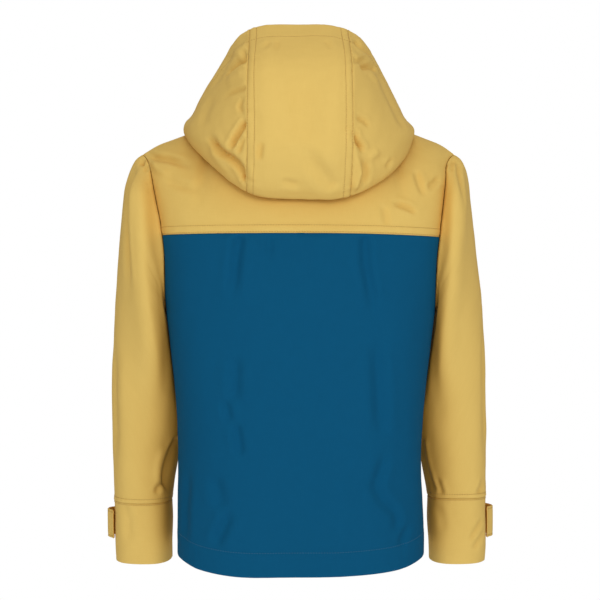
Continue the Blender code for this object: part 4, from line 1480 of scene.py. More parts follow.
# ---------- hood
@dataclass
class Hood:
    """The hood, lying back over the yoke: a centre panel and two sides."""

    torso: Torso
    chin: tuple[float, float] = (-90.0, -22.0)
    clearance: float = 4.0
    clearance_start: float = 0.5
    clearance_ramp: float = 1.5
    rows: int = 26
    strip_neck_x: float = 60.0
    cell_spots: int = 4
    lifts: int = 3
    rise: tuple[float, ...] = (0.0, 0.08, 0.22, 0.38, 0.54, 0.77, 1.0)
    # Share of the way round from the right front edge (-1) to the left one.
    stations: tuple[float, ...] = (-0.77, -0.53, -0.36, -0.2, 0.0, 0.2, 0.36, 0.53, 0.77)
    # x, y, z at each station. Lines run from just above the neck seam out to the edge of the face
    # opening.
    roll: tuple = (
        (-65, -58, -32), (-88, 0, 17), (-80, 34, 14),
        (-60, 64, 9), (0, 84, 6), (60, 64, 9),
        (80, 34, 14), (88, 0, 17), (65, -58, -32),
    )
    under: tuple = (
        (-82, -59, -25), (-120, 6, -4), (-102, 66, -34),
        (-61, 99, -55), (0, 108, -60), (62, 99, -55),
        (100, 66, -34), (120, 6, -4), (82, -59, -25),
    )
    fold: tuple = (
        (-99, -58, -19), (-140, 10, -22), (-118, 84, -78),
        (-61, 118, -114), (0, 121, -119), (66, 118, -109),
        (110, 88, -74), (148, 11, -24), (101, -58, -19),
    )
    bulge: tuple = (
        (-108, -56, -9), (-146, 15, -14), (-126, 94, -44),
        (-63, 153, -62), (0, 160, -64), (64, 153, -62),
        (123, 98, -42), (153, 15, -13), (111, -56, -9),
    )
    upper: tuple = (
        (-105, -55, -1), (-134, 13, 0), (-107, 72, 28),
        (-63, 142, 32), (0, 149, 34), (64, 142, 32),
        (112, 72, 28), (143, 12, 0), (109, -55, -1),
    )
    edge: tuple = (
        (-101, -54, 5), (-122, 10, 15), (-89, 48, 76),
        (-62, 75, 96.5), (0, 80, 102), (61, 75, 97),
        (89, 50, 76), (132, 8, 12), (106, -54, 5),
    )

    def __post_init__(self) -> None:
        """Works out the even form of the whole hood."""
        neck = self.torso.neck_seam()
        around = np.linspace(-1, 1, len(neck))
        to_chin = np.array(self.chin) - np.array(self.torso.neck_front)
        tables = (self.roll, self.under, self.fold, self.bulge, self.upper, self.edge)
        lines = [neck]
        for table, share in zip(tables, self.rise[1:]):
            right, left = neck[[0, -1]] + (0, *(share * to_chin))
            lines.append(spline((-1, *self.stations, 1), (right, *table, left), around))
        lines = np.array(lines)
        rise = np.linspace(0, 1, self.rows + 1)
        grid = np.stack([spline(self.rise, lines[:, k], rise) for k in range(len(neck))], axis=1)
        ramp = self.clearance_start + self.clearance_ramp * np.arange(len(grid))
        wanted = np.minimum(self.clearance, ramp)
        grid[1:, 1:-1] = self.lifted(grid[1:, 1:-1], wanted[1:, None])
        self.grid = askew(grid)

    def lifted(self, points: Grid, wanted: Grid) -> Grid:
        """Points moved out where they are too near to the yokes' outer face.

        Args:
            points: Of the hood's lower layer.
            wanted: Distance that each row keeps.

        Returns:
            The moved points.
        """
        spots, ways = [], []
        for grid in self.torso.yokes():
            normals = facing(grid)
            for u, v in np.ndindex(self.cell_spots, self.cell_spots):
                up, across = u / self.cell_spots, v / self.cell_spots
                for source, found in ((grid, spots), (normals, ways)):
                    near = source[:-1, :-1] * (1 - up) + source[1:, :-1] * up
                    far = source[:-1, 1:] * (1 - up) + source[1:, 1:] * up
                    found.append((near * (1 - across) + far * across).reshape(-1, 3))
        spots, ways = np.concatenate(spots), np.concatenate(ways)
        moved = points.reshape(-1, 3).copy()
        clear = np.broadcast_to(wanted, points.shape[:-1]).ravel()
        for _ in range(self.lifts):
            for k, point in enumerate(moved):
                nearest = np.argmin(np.sum((spots - point) ** 2, axis=1))
                short = clear[k] - (point - spots[nearest]) @ ways[nearest]
                if short > 0:
                    moved[k] = point + short * ways[nearest]
        return moved.reshape(points.shape)

    def pieces(self) -> list[Cloth]:
        """The cloth pieces of the hood, from the neck seam to the edge of the face opening.

        Returns:
            The centre and the two sides.
        """
        middle = self.grid.shape[1] // 2
        cells = self.torso.back_neck_x.index(self.strip_neck_x)
        right, left = middle - cells, middle + cells
        brim = Sewing(rows=(30.0,), band=31.0, rise=0.45, free=True, pucker=0.1, seed=0.3)
        strip = Sewing(rows=(1.4, 10.0), band=10.8, rise=0.5, hold=6, pucker=0.4, seed=0.8)
        strip_right = replace(strip, seed=2.9)
        beside = Sewing(hold=5, pucker=0.26, seed=1.9)
        front = replace(PLACKET, seed=1.1)
        neck = Sewing(hold=5)
        parts = dict(finish=YELLOW, low=neck, high=brim, hang=HOOD_HANG)
        grid = self.grid
        return [
            Cloth("hood_centre", grid[:, right : left + 1][:, ::-1], start=strip, end=strip_right, **parts),
            Cloth("hood_side_left", grid[:, left:][:, ::-1], start=front, end=beside, **parts),
            Cloth("hood_side_right", grid[:, : right + 1][:, ::-1], start=beside, end=front, **parts),
        ]


# ---------- creases
HOOD_CREASES = (
    # left side panel
    Crease(
        ((96, 33), (84, 42), (75, 47), (64, 48)), 4.6, -5.2, lean=0.4, shoulder=0.15, fade=(0.35, 0.08)
    ),
    Crease(((84, 62), (73, 68), (64, 72)), 5.5, 2.6, shoulder=0.0, fade=(0.3, 0.1)),
    Crease(((69, 66), (67, 50)), 3.0, -2.2),
    Crease(((92, 24), (78, 31), (66, 33)), 5.0, 1.5, shoulder=0.0),
    Crease(((98, 4), (83, 9), (63, 12)), 2.8, -1.3, lean=0.3, fade=(0.5, 0.1)),
    Crease(((68, 0), (73, -9), (68, -19)), 2.2, -1.3),
    Crease(((86, 70), (97, 48), (112, 22)), 5.0, -3.0, shoulder=0.2, fade=(0.2, 0.3)),
    Crease(((120, -29), (116, -6), (106, 13)), 6.0, -1.6, shoulder=0.1),
    Crease(((64, -28), (72, -39), (79, -51), (85, -63)), 3.4, -3.4, fade=(0.08, 0.3)),
    Crease(((66, -44), (71, -56), (75, -68)), 2.4, -1.6),
    Crease(
        ((117, -38), (106, -50), (97, -62), (87, -69), (78, -77), (71, -87), (65, -103)),
        3.6, -3.8, lean=0.35, fade=(0.25, 0.1),
    ),
    Crease(((112, -54), (100, -70), (84, -88)), 4.5, 1.6, shoulder=0.0),
    # right side panel
    Crease(((-66, 82), (-76, 73), (-88, 67)), 3.2, -3.0, fade=(0.2, 0.1)),
    Crease(((-61, 46), (-71, 50), (-85, 62)), 2.8, -1.6, fade=(0.1, 0.3)),
    Crease(((-62, 55), (-69, 50)), 2.2, -1.2),
    Crease(((-72, 40), (-84, 46), (-95, 46)), 5.2, -4.4, lean=0.4, shoulder=0.15, fade=(0.25, 0.1)),
    Crease(((-83, 38), (-96, 27)), 3.0, 1.2),
    Crease(((-94, 52), (-106, 21), (-121, -9), (-130, -32)), 5.0, -2.6, shoulder=0.2, fade=(0.2, 0.2)),
    Crease(((-65, -23), (-75, -26), (-83, -33)), 2.6, -1.6),
    Crease(((-62, -37), (-66, -49), (-72, -57), (-77, -66)), 3.0, -3.0, fade=(0.1, 0.3)),
    Crease(((-64, -64), (-69, -76), (-70, -90), (-63, -108)), 3.4, 2.4, shoulder=0.1, fade=(0.3, 0.12)),
    Crease(((-76, -72), (-78, -88), (-72, -102)), 4.0, -1.8),
    Crease(((-104, -80), (-113, -67)), 2.4, -1.3),
    Crease(((-81, -72), (-96, -59)), 4.0, 1.4, shoulder=0.2),
    # centre panel
    Crease(((0, -58), (-20, -84), (-42, -108)), 9.0, -2.0, shoulder=0.15, fade=(0.4, 0.12)),
    Crease(((46, -52), (50, -76)), 3.4, -1.7),
    Crease(((24, -97), (0, -103)), 3.4, -0.9),
    Crease(((28, 78), (29, 57)), 2.8, -0.7, fade=(0.2, 0.5)),
    Crease(((37, 76), (47, 60)), 3.0, -0.8, fade=(0.2, 0.5)),
    Crease(((-31, 76), (-38, 60)), 3.0, -0.8, fade=(0.2, 0.5)),
    Crease(((10, 20), (-4, -20), (4, -60)), 22.0, -1.6, shoulder=0.0),
)
HOOD_HANG = Hang(
    HOOD_CREASES, swell=0.7, swell_size=(60.0, 1.2), crumple=0.14, crumple_size=20.0, strength=1.85, seed=11
)
YOKE_CREASES = (
    Crease(((203, -50), (186, -57), (168, -61), (132, -76)), 4.2, -2.6, fade=(0.1, 0.5)),
    Crease(((200, -58), (180, -74), (160, -84)), 5.0, 1.6, shoulder=0.1),
    Crease(((174, -88), (150, -97), (122, -105)), 5.0, -1.2, fade=(0.3, 0.5)),
    Crease(((-112, -120), (-127, -124), (-146, -133)), 3.2, -1.8),
    Crease(((-144, -75), (-149, -95), (-156, -112)), 4.0, -1.5),
    Crease(((-157, -103), (-178, -84)), 3.6, -1.4),
    Crease(((-102, -122), (-106, -150)), 4.0, -1.0),
    Crease(((-184, -72), (-202, -58)), 3.4, -1.8, fade=(0.4, 0.1)),
    Crease(((196, -80), (170, -92), (140, -110)), 5.0, -1.6, side=Side.FRONT),
    Crease(((-192, -70), (-168, -92), (-150, -120)), 5.0, -1.8, side=Side.FRONT),
    Crease(((-30, -90), (-42, -120), (-46, -150)), 6.0, -1.5, side=Side.FRONT),
    Crease(((36, -95), (60, -118), (92, -132)), 5.5, -1.5, side=Side.FRONT),
)
YOKE_HANG = Hang(YOKE_CREASES, swell=0.6, swell_size=(70.0, 1.0), strength=1.8, seed=23)
BODY_CREASES = (
    Crease(((74, -160), (79, -197), (83, -246)), 6.5, -3.0, fade=(0.05, 0.5)),
    Crease(((38, -162), (38, -196)), 4.5, -1.2, fade=(0.1, 0.5)),
    Crease(((-79, -160), (-80, -194), (-86, -228), (-91, -270)), 6.0, -2.6, fade=(0.05, 0.5)),
    Crease(((-93, -280), (-97, -351), (-101, -420)), 8.0, -2.8),
    Crease(((-108, -425), (-99, -453), (-94, -471), (-103, -488), (-113, -506)), 6.5, -2.2),
    Crease(((-104, -486), (-121, -512), (-119, -532)), 5.5, -1.6),
    Crease(((-137, -520), (-124, -548)), 4.5, -1.4),
    Crease(((79, -305), (81, -370)), 7.0, -2.0),
    Crease(((94, -362), (87, -392)), 5.0, -1.8),
    Crease(((80, -388), (73, -436)), 5.5, -2.4),
    Crease(((84, -498), (97, -525), (107, -548)), 6.5, -2.6),
    Crease(((108, -455), (100, -480), (96, -500)), 8.0, -2.0),
    Crease(((140, -440), (146, -500), (147, -555)), 6.0, -2.2, fade=(0.4, 0.3)),
    Crease(((0, -300), (6, -420), (-4, -560)), 30.0, -2.2, shoulder=0.1, fade=(0.4, 0.2)),
    Crease(((-50, -420), (-46, -560)), 20.0, 1.6, shoulder=0.0, fade=(0.4, 0.1)),
    # front
    Crease(((70, -170), (62, -250), (74, -340)), 9.0, -3.2, side=Side.FRONT, fade=(0.1, 0.5)),
    Crease(((-66, -165), (-78, -240), (-70, -310)), 8.0, -2.8, side=Side.FRONT, fade=(0.1, 0.5)),
    Crease(((0, -205), (6, -290), (-3, -380)), 9.0, -2.4, side=Side.FRONT, fade=(0.15, 0.5)),
    Crease(((96, -360), (88, -450), (100, -560)), 11.0, -3.0, side=Side.FRONT, fade=(0.4, 0.1)),
    Crease(((-92, -330), (-100, -430), (-88, -500)), 9.0, -3.0, side=Side.FRONT),
    Crease(((-40, -440), (-34, -560)), 9.0, -2.4, side=Side.FRONT, fade=(0.4, 0.1)),
    Crease(((-150, -235), (-118, -262), (-92, -300)), 7.0, -2.6, side=Side.FRONT),
    Crease(((150, -240), (126, -270), (110, -320)), 7.0, -2.4, side=Side.FRONT),
)
BODY_HANG = Hang(BODY_CREASES, swell=1.0, swell_size=(95.0, 4.0), crumple_size=30.0, strength=1.6, seed=37)
LEFT_SLEEVE_CREASES = (
    Crease(((214, -66), (215, -113), (214, -164), (212, -240)), 4.6, -3.6, lean=-0.25, fade=(0.12, 0.4)),
    Crease(
        ((207, -70), (203, -92), (200, -114), (196, -164))
        + ((193, -215), (190, -265), (187, -330), (186, -380)),
        15.0, 9.0, lean=-0.3, shoulder=0.0, fade=(0.14, 0.3),
    ),
    Crease(((201, -56), (205, -68)), 2.4, -1.6),
    Crease(((195, -63), (197, -79)), 2.4, -1.8),
    Crease(((208, -58), (198, -70)), 3.0, -1.8),
    Crease(
        ((160, -418), (171, -444), (177, -470), (172, -494)),
        6.5, -5.0, lean=0.5, shoulder=0.1, fade=(0.1, 0.2),
    ),
    Crease(((176, -428), (184, -450), (187, -482)), 4.5, 1.6, shoulder=0.0),
    Crease(((178, -476), (190, -493)), 3.4, -1.6),
    Crease(((238, -500), (226, -520), (226, -560)), 5.5, -1.3),
    Crease(((-46, -150), (-42, -240), (-50, -330)), 8.0, -2.6, side=Side.LEFT),
    Crease(((4, -280), (-8, -380), (-16, -470)), 8.0, -2.4, side=Side.LEFT),
    Crease(((-82, -350), (-68, -366), (-54, -370)), 5.0, -2.0, side=Side.LEFT),
    Crease(((196, -180), (204, -300), (198, -400)), 9.0, -2.4, side=Side.FRONT),
    Crease(((180, -420), (206, -436), (236, -430)), 5.5, -2.6, side=Side.FRONT),
    Crease(((176, -462), (210, -470), (240, -458)), 5.0, -2.0, side=Side.FRONT),
)
LEFT_SLEEVE_HANG = Hang(LEFT_SLEEVE_CREASES, swell_size=(75.0, 3.5), strength=1.4, seed=41)
RIGHT_SLEEVE_CREASES = (
    Crease(((-203, -60), (-202, -92), (-201, -134)), 3.2, -2.4, fade=(0.12, 0.5)),
    Crease(
        ((-196, -72), (-193, -114), (-191, -165), (-188, -215), (-185, -265), (-183, -330), (-183, -380)),
        12.0, 7.0, lean=0.3, shoulder=0.0, fade=(0.14, 0.3),
    ),
    Crease(((-188, -68), (-201, -59)), 2.6, -2.0),
    Crease(((-191, -77), (-196, -65)), 2.4, -1.6),
    Crease(
        ((-158, -420), (-162, -450), (-168, -474), (-177, -495)), 5.2, -3.6, lean=-0.4, fade=(0.1, 0.2)
    ),
    Crease(((-176, -470), (-181, -484), (-186, -497)), 3.4, -1.6),
    Crease(((-243, -470), (-238, -484), (-230, -495)), 4.0, -2.2),
    Crease(((-218, -556), (-230, -540), (-241, -524)), 3.6, -1.8),
    Crease(((-224, -568), (-234, -552), (-243, -540)), 3.4, -1.5),
    Crease(((-176, -505), (-184, -522), (-186, -544)), 4.4, -0.8),
    Crease(((-50, -140), (-40, -230), (-48, -300)), 8.0, -2.6, side=Side.RIGHT),
    Crease(((0, -260), (-12, -350), (-20, -460)), 8.0, -2.4, side=Side.RIGHT),
    Crease(((-82, -384), (-68, -398), (-54, -400)), 5.0, -2.0, side=Side.RIGHT),
    Crease(((-198, -200), (-204, -310), (-200, -400)), 9.0, -2.4, side=Side.FRONT),
    Crease(((-180, -432), (-206, -444), (-236, -440)), 5.5, -2.6, side=Side.FRONT),
)
RIGHT_SLEEVE_HANG = replace(LEFT_SLEEVE_HANG, creases=RIGHT_SLEEVE_CREASES, seed=53)


# ---------- threads and teeth
def bead_tree() -> NodeTree:
    """Geometry nodes that set small rounded beads along lines: stitches, or the teeth of a zip.

    Returns:
        A group that takes the lines and the beads' spacing, size, sides and material.
    """
    name = "beads_along"
    if name in bpy.data.node_groups:
        return bpy.data.node_groups[name]
    inputs = {
        "Lines": "NodeSocketGeometry",
        "Spacing": ("NodeSocketFloat", 0.0026),
        "Size": ("NodeSocketVector", (0.002, 0.0005, 0.0004)),
        "Around": ("NodeSocketInt", 6),
        "Material": "NodeSocketMaterial",
    }
    tree, given, result = new_group(name, "GeometryNodeTree", inputs, {"Beads": "NodeSocketGeometry"})
    curve = tree.add("GeometryNodeMeshToCurve", {0: given.outputs["Lines"]})
    even = {"Curve": curve.outputs[0], "Length": given.outputs["Spacing"]}
    spaced = tree.add("GeometryNodeResampleCurve", even, mode="LENGTH")
    ball = {"Segments": given.outputs["Around"], "Rings": 4, "Radius": 0.5}
    bead = tree.add("GeometryNodeMeshUVSphere", ball)
    soft = tree.add("GeometryNodeSetShadeSmooth", {0: bead.outputs[0]})
    outward = tree.add("GeometryNodeInputNamedAttribute", {"Name": "outward"}, data_type="FLOAT_VECTOR")
    tangent = tree.add("GeometryNodeInputTangent")
    turn = tree.add("FunctionNodeAxesToRotation", {0: outward.outputs[0], 1: tangent.outputs[0]})
    turn.primary_axis, turn.secondary_axis = "Z", "X"
    inputs = {
        "Points": spaced.outputs[0],
        "Instance": soft.outputs[0],
        "Rotation": turn.outputs[0],
        "Scale": given.outputs["Size"],
    }
    placed = tree.add("GeometryNodeInstanceOnPoints", inputs)
    real = tree.add("GeometryNodeRealizeInstances", {0: placed.outputs[0]})
    finish = {"Geometry": real.outputs[0], "Material": given.outputs["Material"]}
    dressed = tree.add("GeometryNodeSetMaterial", finish)
    tree.feed(result, {0: dressed.outputs[0]})
    return tree.tree


@dataclass
class Beads:
    """Beads of one size along many lines, made into one plain mesh.

    Attributes:
        name: Of the piece.
        finish: Of the beads.
        spacing: Between their middles.
        size: Along the line, across it and outwards.
        rise: How far their middles stand off the surface.
        around: Sides of a bead.
        lines: Points and outward directions of each line.
    """

    name: str
    finish: ThreadFinish | MetalFinish
    spacing: float
    size: tuple[float, float, float]
    rise: float = 0.0
    around: int = 6
    lines: list[tuple[Grid, Grid]] = field(default_factory=list)

    def add(self, points: Grid, normals: Grid) -> None:
        """Adds a line with its outward directions."""
        self.lines.append((points + self.rise * normals, normals))

    def build(self) -> None:
        """Makes the beads, which stay with the garment."""
        points = np.concatenate([line[0] for line in self.lines]) * MM
        outward = np.concatenate([line[1] for line in self.lines])
        edges, first = [], 0
        for line, _ in self.lines:
            edges += [(first + k, first + k + 1) for k in range(len(line) - 1)]
            first += len(line)
        mesh = bpy.data.meshes.new(self.name + "_lines")
        mesh.from_pydata(points.tolist(), edges, [])
        mesh.attributes.new("outward", "FLOAT_VECTOR", "POINT").data.foreach_set("vector", outward.ravel())
        guide = linked(mesh.name, mesh)
        tree = bead_tree()
        step = guide.modifiers.new("beads", "NODES")
        step.node_group = tree
        values = {
            "Spacing": self.spacing * MM,
            "Size": [part * MM for part in self.size],
            "Around": self.around,
            "Material": self.finish.material(),
        }
        for socket in tree.interface.items_tree:
            if socket.in_out == "INPUT" and socket.name in values:
                step[socket.identifier] = values[socket.name]
        bpy.context.view_layer.update()
        evaluated = guide.evaluated_get(bpy.context.evaluated_depsgraph_get())
        plain = bpy.data.meshes.new_from_object(evaluated)
        plain.name = self.name
        made = linked(self.name, plain)
        bpy.data.objects.remove(guide)
        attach(made, GARMENT)
        LOG.info("%s: %d faces", made.name, len(plain.polygons))


# ---------- zip
@dataclass
class FrontZip:
    """The closed zip: tape, coil, stops, slider and the pull that hangs from it."""

    torso: Torso
    hood: Hood
    tape_drop: float = 0.9
    tooth_pitch: float = 1.35
    tooth: tuple[float, float, float] = (1.0, 3.1, 1.3)
    tooth_rise: float = 0.45
    row_half: float = 0.85
    stop: tuple[float, float, float] = (2.2, 1.5, 1.6)
    stop_rise: float = 0.5
    stop_half: tuple[float, float] = (1.6, 1.5)
    slider_down: float = 11.0
    slider_gap: float = 0.5
    plate_half: tuple[float, float] = (4.6, 6.5)
    plate_thick: float = 2.0
    bridge_hole: float = 3.0
    bridge_thick: float = 1.2
    bridge_half: tuple[float, float] = (1.6, 2.9)
    pull_length: float = 24.0
    pull_half: tuple[float, float] = (3.6, 0.7)
    crossbar: float = 0.8
    slot_half: float = 2.1
    slot_end: float = 6.2
    grip_inset: tuple[float, float, float] = (1.1, 2.2, 3.5)
    grip_rise: float = 0.25
    face_inset: tuple[float, float] = (0.7, 1.0)
    face_rise: float = 0.3
    face_thick: float = 0.9
    foot_thick: float = 1.3
    sunk: tuple[float, float] = (0.4, 0.5)  # how far the bridge's feet go into it and into the plate
    slot_sunk: float = 0.4
    # Widths of rounded edges: plate, face, bridge and feet; the pull's bars, tab and grip.
    slider_bevels: tuple[float, ...] = (0.55, 0.35, 0.4, 0.3)
    pull_bevels: tuple[float, ...] = (0.35, 0.45, 0.22)
    sharp: float = 40.0

    def tape(self) -> Cloth:
        """The tape behind the teeth.

        Returns:
            The cloth piece.
        """
        edge = self.torso.zip_edge()
        edge = np.concatenate([askew(np.stack([mirrored(edge), edge], axis=1)), self.hood.grid[1:, [0, -1]]])
        self.ribbon = edge.mean(axis=1)
        lower = edge - self.tape_drop * facing(edge)
        thirds = np.linspace(0, 1, 4)[None, :, None]
        grid = lower[:, :1] * (1 - thirds) + lower[:, 1:] * thirds
        plain = Sewing(hold=1.0)
        return Cloth("front_zip", grid, TAPE, low=plain, high=Sewing(free=True), start=plain, end=plain)

    def teeth(self, tape: Cloth) -> Beads:
        """The coil's teeth in two rows that lock.

        Args:
            tape: The finished tape.

        Returns:
            The teeth, not yet built.
        """
        coil = Beads("zip_teeth", COIL, self.tooth_pitch, self.tooth, rise=self.tooth_rise)
        columns = tape.outer.shape[1]
        middle = tape.outer[:, columns // 2] if columns % 2 else tape.outer[:, [0, -1]].mean(axis=1)
        normals = tape.normals[:, columns // 2]
        across = unit(tape.outer[:, -1] - tape.outer[:, 0])
        along = unit(np.gradient(middle, axis=0))
        for side in (-1, 1):
            line = middle + side * self.row_half * across + (side + 1) / 4 * self.tooth_pitch * along
            coil.add(line[2:-3], normals[2:-3])
        return coil

    def place(self) -> tuple[Grid, float]:
        """Where the slider stands on the zip.

        Returns:
            The place, and how far the zip leans there.
        """
        top, low = self.ribbon[-1], self.ribbon[-1 - self.hood.rows // 2]
        up = unit(top - low)
        return top - up * self.slider_down, math.atan2(-up[1], up[2])

    def block(self, low: Sequence[float], high: Sequence[float], bevel: float) -> BMesh:
        """A box between two corners with rounded edges.

        Args:
            low: One corner.
            high: The other corner.
            bevel: Width of its rounded edges.

        Returns:
            The box.
        """
        made = bmesh.new()
        bmesh.ops.create_cube(made, size=1)
        low, high = Vector(low), Vector(high)
        for corner in made.verts:
            share = corner.co + Vector((0.5, 0.5, 0.5))
            corner.co = Vector(a + (b - a) * s for a, b, s in zip(low, high, share))
        bmesh.ops.bevel(made, geom=made.edges[:], offset=bevel, segments=3, profile=0.5, affect="EDGES")
        return made

    def joined(self, name: str, blocks: Iterable[BMesh], turn: Matrix) -> Object:
        """One object from several blocks, put in place.

        Args:
            name: Of the object.
            blocks: That are joined and used up.
            turn: Puts them in place.

        Returns:
            The new object.
        """
        mesh = bpy.data.meshes.new(name)
        whole = bmesh.new()
        for part in blocks:
            piece = bpy.data.meshes.new("part")
            part.to_mesh(piece)
            part.free()
            whole.from_mesh(piece)
            bpy.data.meshes.remove(piece)
        bmesh.ops.transform(whole, matrix=turn, verts=whole.verts)
        bmesh.ops.scale(whole, vec=(MM, MM, MM), verts=whole.verts)
        whole.to_mesh(mesh)
        whole.free()
        mesh.shade_smooth()
        mesh.set_sharp_from_angle(angle=math.radians(self.sharp))
        mesh.materials.append(METAL.material())
        LOG.info("%s: %d faces", name, len(mesh.polygons))
        return linked(name, mesh)

    def slider(self) -> None:
        """The slider: a plate with a raised face on it, and the bridge on two feet that carries the pull."""
        place, lean = self.place()
        plate_x, plate_z = self.plate_half
        bridge_x, bridge_z = self.bridge_half
        front = -self.slider_gap - self.plate_thick
        top = front - self.bridge_hole
        face_x, face_z = plate_x - self.face_inset[0], plate_z - self.face_inset[1]
        behind = front + self.face_rise
        plate, face, bridge, feet = self.slider_bevels
        blocks = [
            self.block((-plate_x, behind, -plate_z), (plate_x, -self.slider_gap, plate_z), plate),
            self.block((-face_x, front, -face_z), (face_x, front + self.face_thick, face_z), face),
            self.block((-bridge_x, top - self.bridge_thick, -bridge_z), (bridge_x, top, bridge_z), bridge),
        ]
        for z in (-1, 1):
            ends = sorted((z * bridge_z, z * (bridge_z - self.foot_thick)))
            foot = (-bridge_x, top - self.sunk[0], ends[0]), (bridge_x, front + self.sunk[1], ends[1])
            blocks.append(self.block(*foot, feet))
        turn = Matrix.Translation(Vector(place)) @ Matrix.Rotation(lean, 4, "X")
        made = self.joined("zip_slider_body", blocks, turn)
        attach(made, GARMENT)
        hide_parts("zip_slider")

    def pull(self) -> None:
        """The pull: a flat tab with a raised grip and a slot, which hangs by its bar from the bridge."""
        place, lean = self.place()
        axis = -self.slider_gap - self.plate_thick - self.bridge_hole / 2
        half, thick = self.pull_half
        wall = half - self.slot_half
        parts = [((-half, -thick, -self.crossbar), (half, thick, self.crossbar))]
        for side in (-1, 1):
            sides = sorted((side * half, side * (half - wall)))
            parts.append(((sides[0], -thick, -self.slot_end - self.slot_sunk), (sides[1], thick, 0.0)))
        bars, tab, soft_grip = self.pull_bevels
        blocks = [self.block(low, high, bars) for low, high in parts]
        blocks.append(self.block((-half, -thick, -self.pull_length), (half, thick, -self.slot_end), tab))
        (side, foot, head), depth = self.grip_inset, thick + self.grip_rise
        grip = (-half + side, -depth, -self.pull_length + foot), (half - side, depth, -self.slot_end - head)
        blocks.append(self.block(*grip, soft_grip))
        centre = Vector(place) + axis * Vector((0, math.cos(lean), math.sin(lean)))
        made = self.joined("zip_pull_tab", blocks, Matrix.Translation(centre))
        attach(made, PULL)
        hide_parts("zip_pull")

    def stops(self, tape: Cloth) -> Beads:
        """The metal stops at both ends of the coil.

        Args:
            tape: The finished tape.

        Returns:
            The stops, not yet built.
        """
        stops = Beads("zip_stops", METAL, 1.0, self.stop, rise=self.stop_rise, around=8)
        column = tape.outer.shape[1] // 2
        across = unit(tape.outer[:, -1] - tape.outer[:, 0])
        for row, half in zip((1, -2), self.stop_half):
            spread = np.linspace(-half, half, 3)[:, None] * across[row]
            stops.add(tape.outer[row, column] + spread, np.tile(tape.normals[row, column], (3, 1)))
        return stops


# ---------- stitching
def stitching(cloths: dict[str, Cloth]) -> list[Beads]:
    """All rows of stitches, sorted by the colour of their thread.

    Args:
        cloths: The finished cloth pieces by node.

    Returns:
        The yellow and the blue stitches.
    """
    stitch = dict(spacing=STITCH_STEP, size=(2.0, 1.0, 0.75), rise=0.1)
    yellow = Beads("yellow_stitches", YELLOW_THREAD_PAINTED_SHADE, **stitch)
    blue = Beads("blue_stitches", BLUE_THREAD, **stitch)
    for cloth in cloths.values():
        threads = blue if cloth.finish is BLUE else yellow
        if cloth.finish is TAPE:
            continue
        for edge, trim in zip(EDGES, (1, 1, 3, 3)):
            for distance in getattr(cloth, edge).rows:
                threads.add(*cloth.row(edge, distance, trim))
    front = cloths["front_body"]
    lines = front.slit_sewing.lines(CELL)
    for distance in front.slit_sewing.rows:
        at = int(np.abs(lines - distance).argmin()) + 1
        columns = front.slit_columns[0] - at, front.slit_columns[1] + at
        below = front.slit_row - max(1, round(distance / CELL))
        for column in columns:
            blue.add(front.outer[below:-1, column], front.normals[below:-1, column])
        reach = slice(columns[0], columns[1] + 1)
        blue.add(front.outer[below, reach], front.normals[below, reach])
    return [yellow, blue]


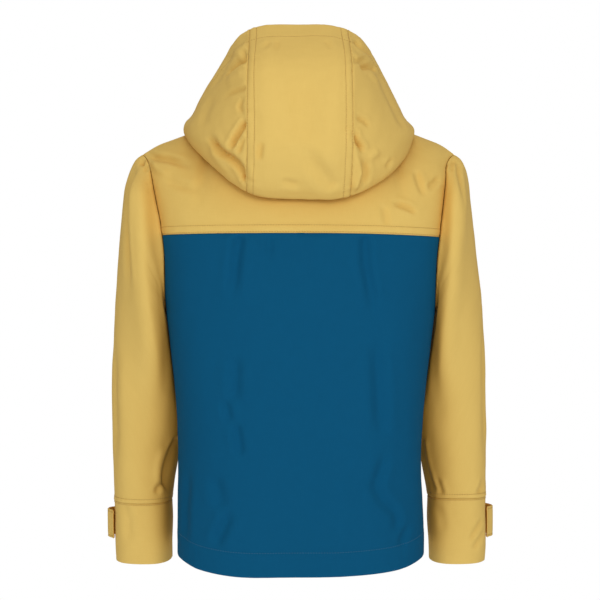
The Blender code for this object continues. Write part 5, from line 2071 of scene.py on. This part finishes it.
# ---------- studio
@dataclass
class Studio:
    """A pale floor below the garment, soft light, and the camera behind the garment."""

    floor: float = -1.15
    floor_half: tuple[float, float] = (3.0, 2.1)
    camera_y: float = 1.75
    camera_x: float = 0.0005
    camera_z: float = -0.24
    field_width: float = 0.78
    sensor: float = 36.0
    ambient: tuple[float, float, float] = (0.395, 0.335, 0.25)
    paper: tuple = ((0.82, 0.85, 0.90, 1), (0.85, 0.88, 0.93, 1))
    paper_grain: float = 40.0
    paper_roughness: float = 0.95
    paper_glow: float = 0.18
    aim: tuple[float, float, float] = (0.0, 0.0, -0.25)
    # name, place, length of a side, watts
    lamps: tuple = (
        ("soft_key", (-1.15, 2.1, 0.1), 0.9, 13),
        ("soft_middle", (0.0, 2.3, 0.5), 0.9, 12),
        ("soft_fill", (1.25, 2.05, 0.1), 0.9, 9),
        ("overhead", (0.0, 0.5, 1.9), 0.8, 6),
        ("front_fill", (0.0, -2.2, 0.6), 1.2, 14),
    )

    def ground(self) -> None:
        """The floor."""
        x, y = self.floor_half
        corners = [(-x, -y), (x, -y), (x, y), (-x, y)]
        mesh = bpy.data.meshes.new("studio_floor")
        mesh.from_pydata([(a, b, self.floor) for a, b in corners], [], [(0, 1, 2, 3)])
        made = linked(mesh.name, mesh)
        paper = bpy.data.materials.new("studio_paper")
        paper.use_nodes = True
        tree = Tree(paper.node_tree)
        grain = tree.noise(tree.add("ShaderNodeTexCoord").outputs["Object"], self.paper_grain)
        sockets = {
            "Base Color": tree.mix(grain, *self.paper),
            "Roughness": self.paper_roughness,
            "Emission Color": (1.0, 1.0, 1.0, 1.0),
            "Emission Strength": self.paper_glow,
        }
        tree.feed(paper.node_tree.nodes["Principled BSDF"], sockets)
        mesh.materials.append(paper)

    def light(self, name: str, place: Sequence[float], size: float, power: float) -> None:
        """A square soft light that faces the garment.

        Args:
            name: Of the light.
            place: Of its middle.
            size: Of its side.
            power: In watts.
        """
        lamp = bpy.data.lights.new(name, "AREA")
        lamp.size, lamp.energy = size, power
        made = linked(name, lamp)
        made.location = place
        made.rotation_euler = (Vector(self.aim) - Vector(place)).to_track_quat("-Z", "Y").to_euler()

    def lights(self) -> None:
        """Soft light from the camera's side, from above and, weaker, from in front of the garment."""
        for lamp in self.lamps:
            self.light(*lamp)
        world = bpy.data.worlds.new("soft_room")
        world.use_nodes = True
        tree = Tree(world.node_tree)
        seen = tree.add("ShaderNodeLightPath").outputs["Is Camera Ray"]
        colour = tree.mix(seen, (*self.ambient, 1), (1, 1, 1, 1))
        tree.feed(world.node_tree.nodes["Background"], {0: colour})
        bpy.context.scene.world = world

    def camera(self) -> None:
        """The camera, level with the middle of the garment."""
        lens = bpy.data.cameras.new("camera")
        lens.sensor_width = self.sensor
        lens.lens = self.sensor * self.camera_y / self.field_width
        made = linked("camera", lens)
        made.location = (self.camera_x, self.camera_y, self.camera_z)
        made.rotation_euler = (math.pi / 2, 0, math.pi)
        bpy.context.scene.camera = made
        bpy.context.scene.view_settings.view_transform = "Standard"

    def build(self) -> None:
        """Sets up the studio."""
        self.ground()
        self.lights()
        self.camera()


# How each piece of cloth is held, and what it is sewn to there.
BACK_YOKE, FRONT_YOKES = ("back_yoke",), ("front_yoke_left", "front_yoke_right")
JOINS = {
    "back_body": ("hung", BACK_YOKE),
    "front_body": ("hung", FRONT_YOKES),
    "back_yoke": ("draped", FRONT_YOKES),
    "hood_centre": ("draped", BACK_YOKE),
    "front_zip": ("hung", FRONT_YOKES),
}
for side in ("left", "right"):
    JOINS[f"front_yoke_{side}"] = ("draped", BACK_YOKE)
    JOINS[f"sleeve_{side}"] = ("hung", ("back_yoke", f"front_yoke_{side}"))
    JOINS[f"cuff_{side}"] = ("hung", (f"sleeve_{side}",))
    JOINS[f"cuff_tab_{side}"] = ("hung", (f"cuff_{side}",))
    JOINS[f"hood_side_{side}"] = ("draped", BACK_YOKE)


def main() -> None:
    logging.basicConfig(level=logging.INFO, format="%(name)s %(message)s")
    Studio().build()
    torso = Torso()
    hood = Hood(torso)
    front_zip = FrontZip(torso, hood)
    tape = front_zip.tape()
    pieces = (*torso.pieces(), *Sleeves(torso).pieces(), *hood.pieces(), tape)
    cloths = {cloth.node: cloth for cloth in pieces}
    for node, cloth in cloths.items():
        held, rests_on = JOINS[node]
        cloth.declare(cloth.build(), held, rests_on)
    for beads in (*stitching(cloths), front_zip.teeth(tape), front_zip.stops(tape)):
        beads.build()
    front_zip.slider()
    front_zip.pull()


if __name__ == "__main__":
    main()
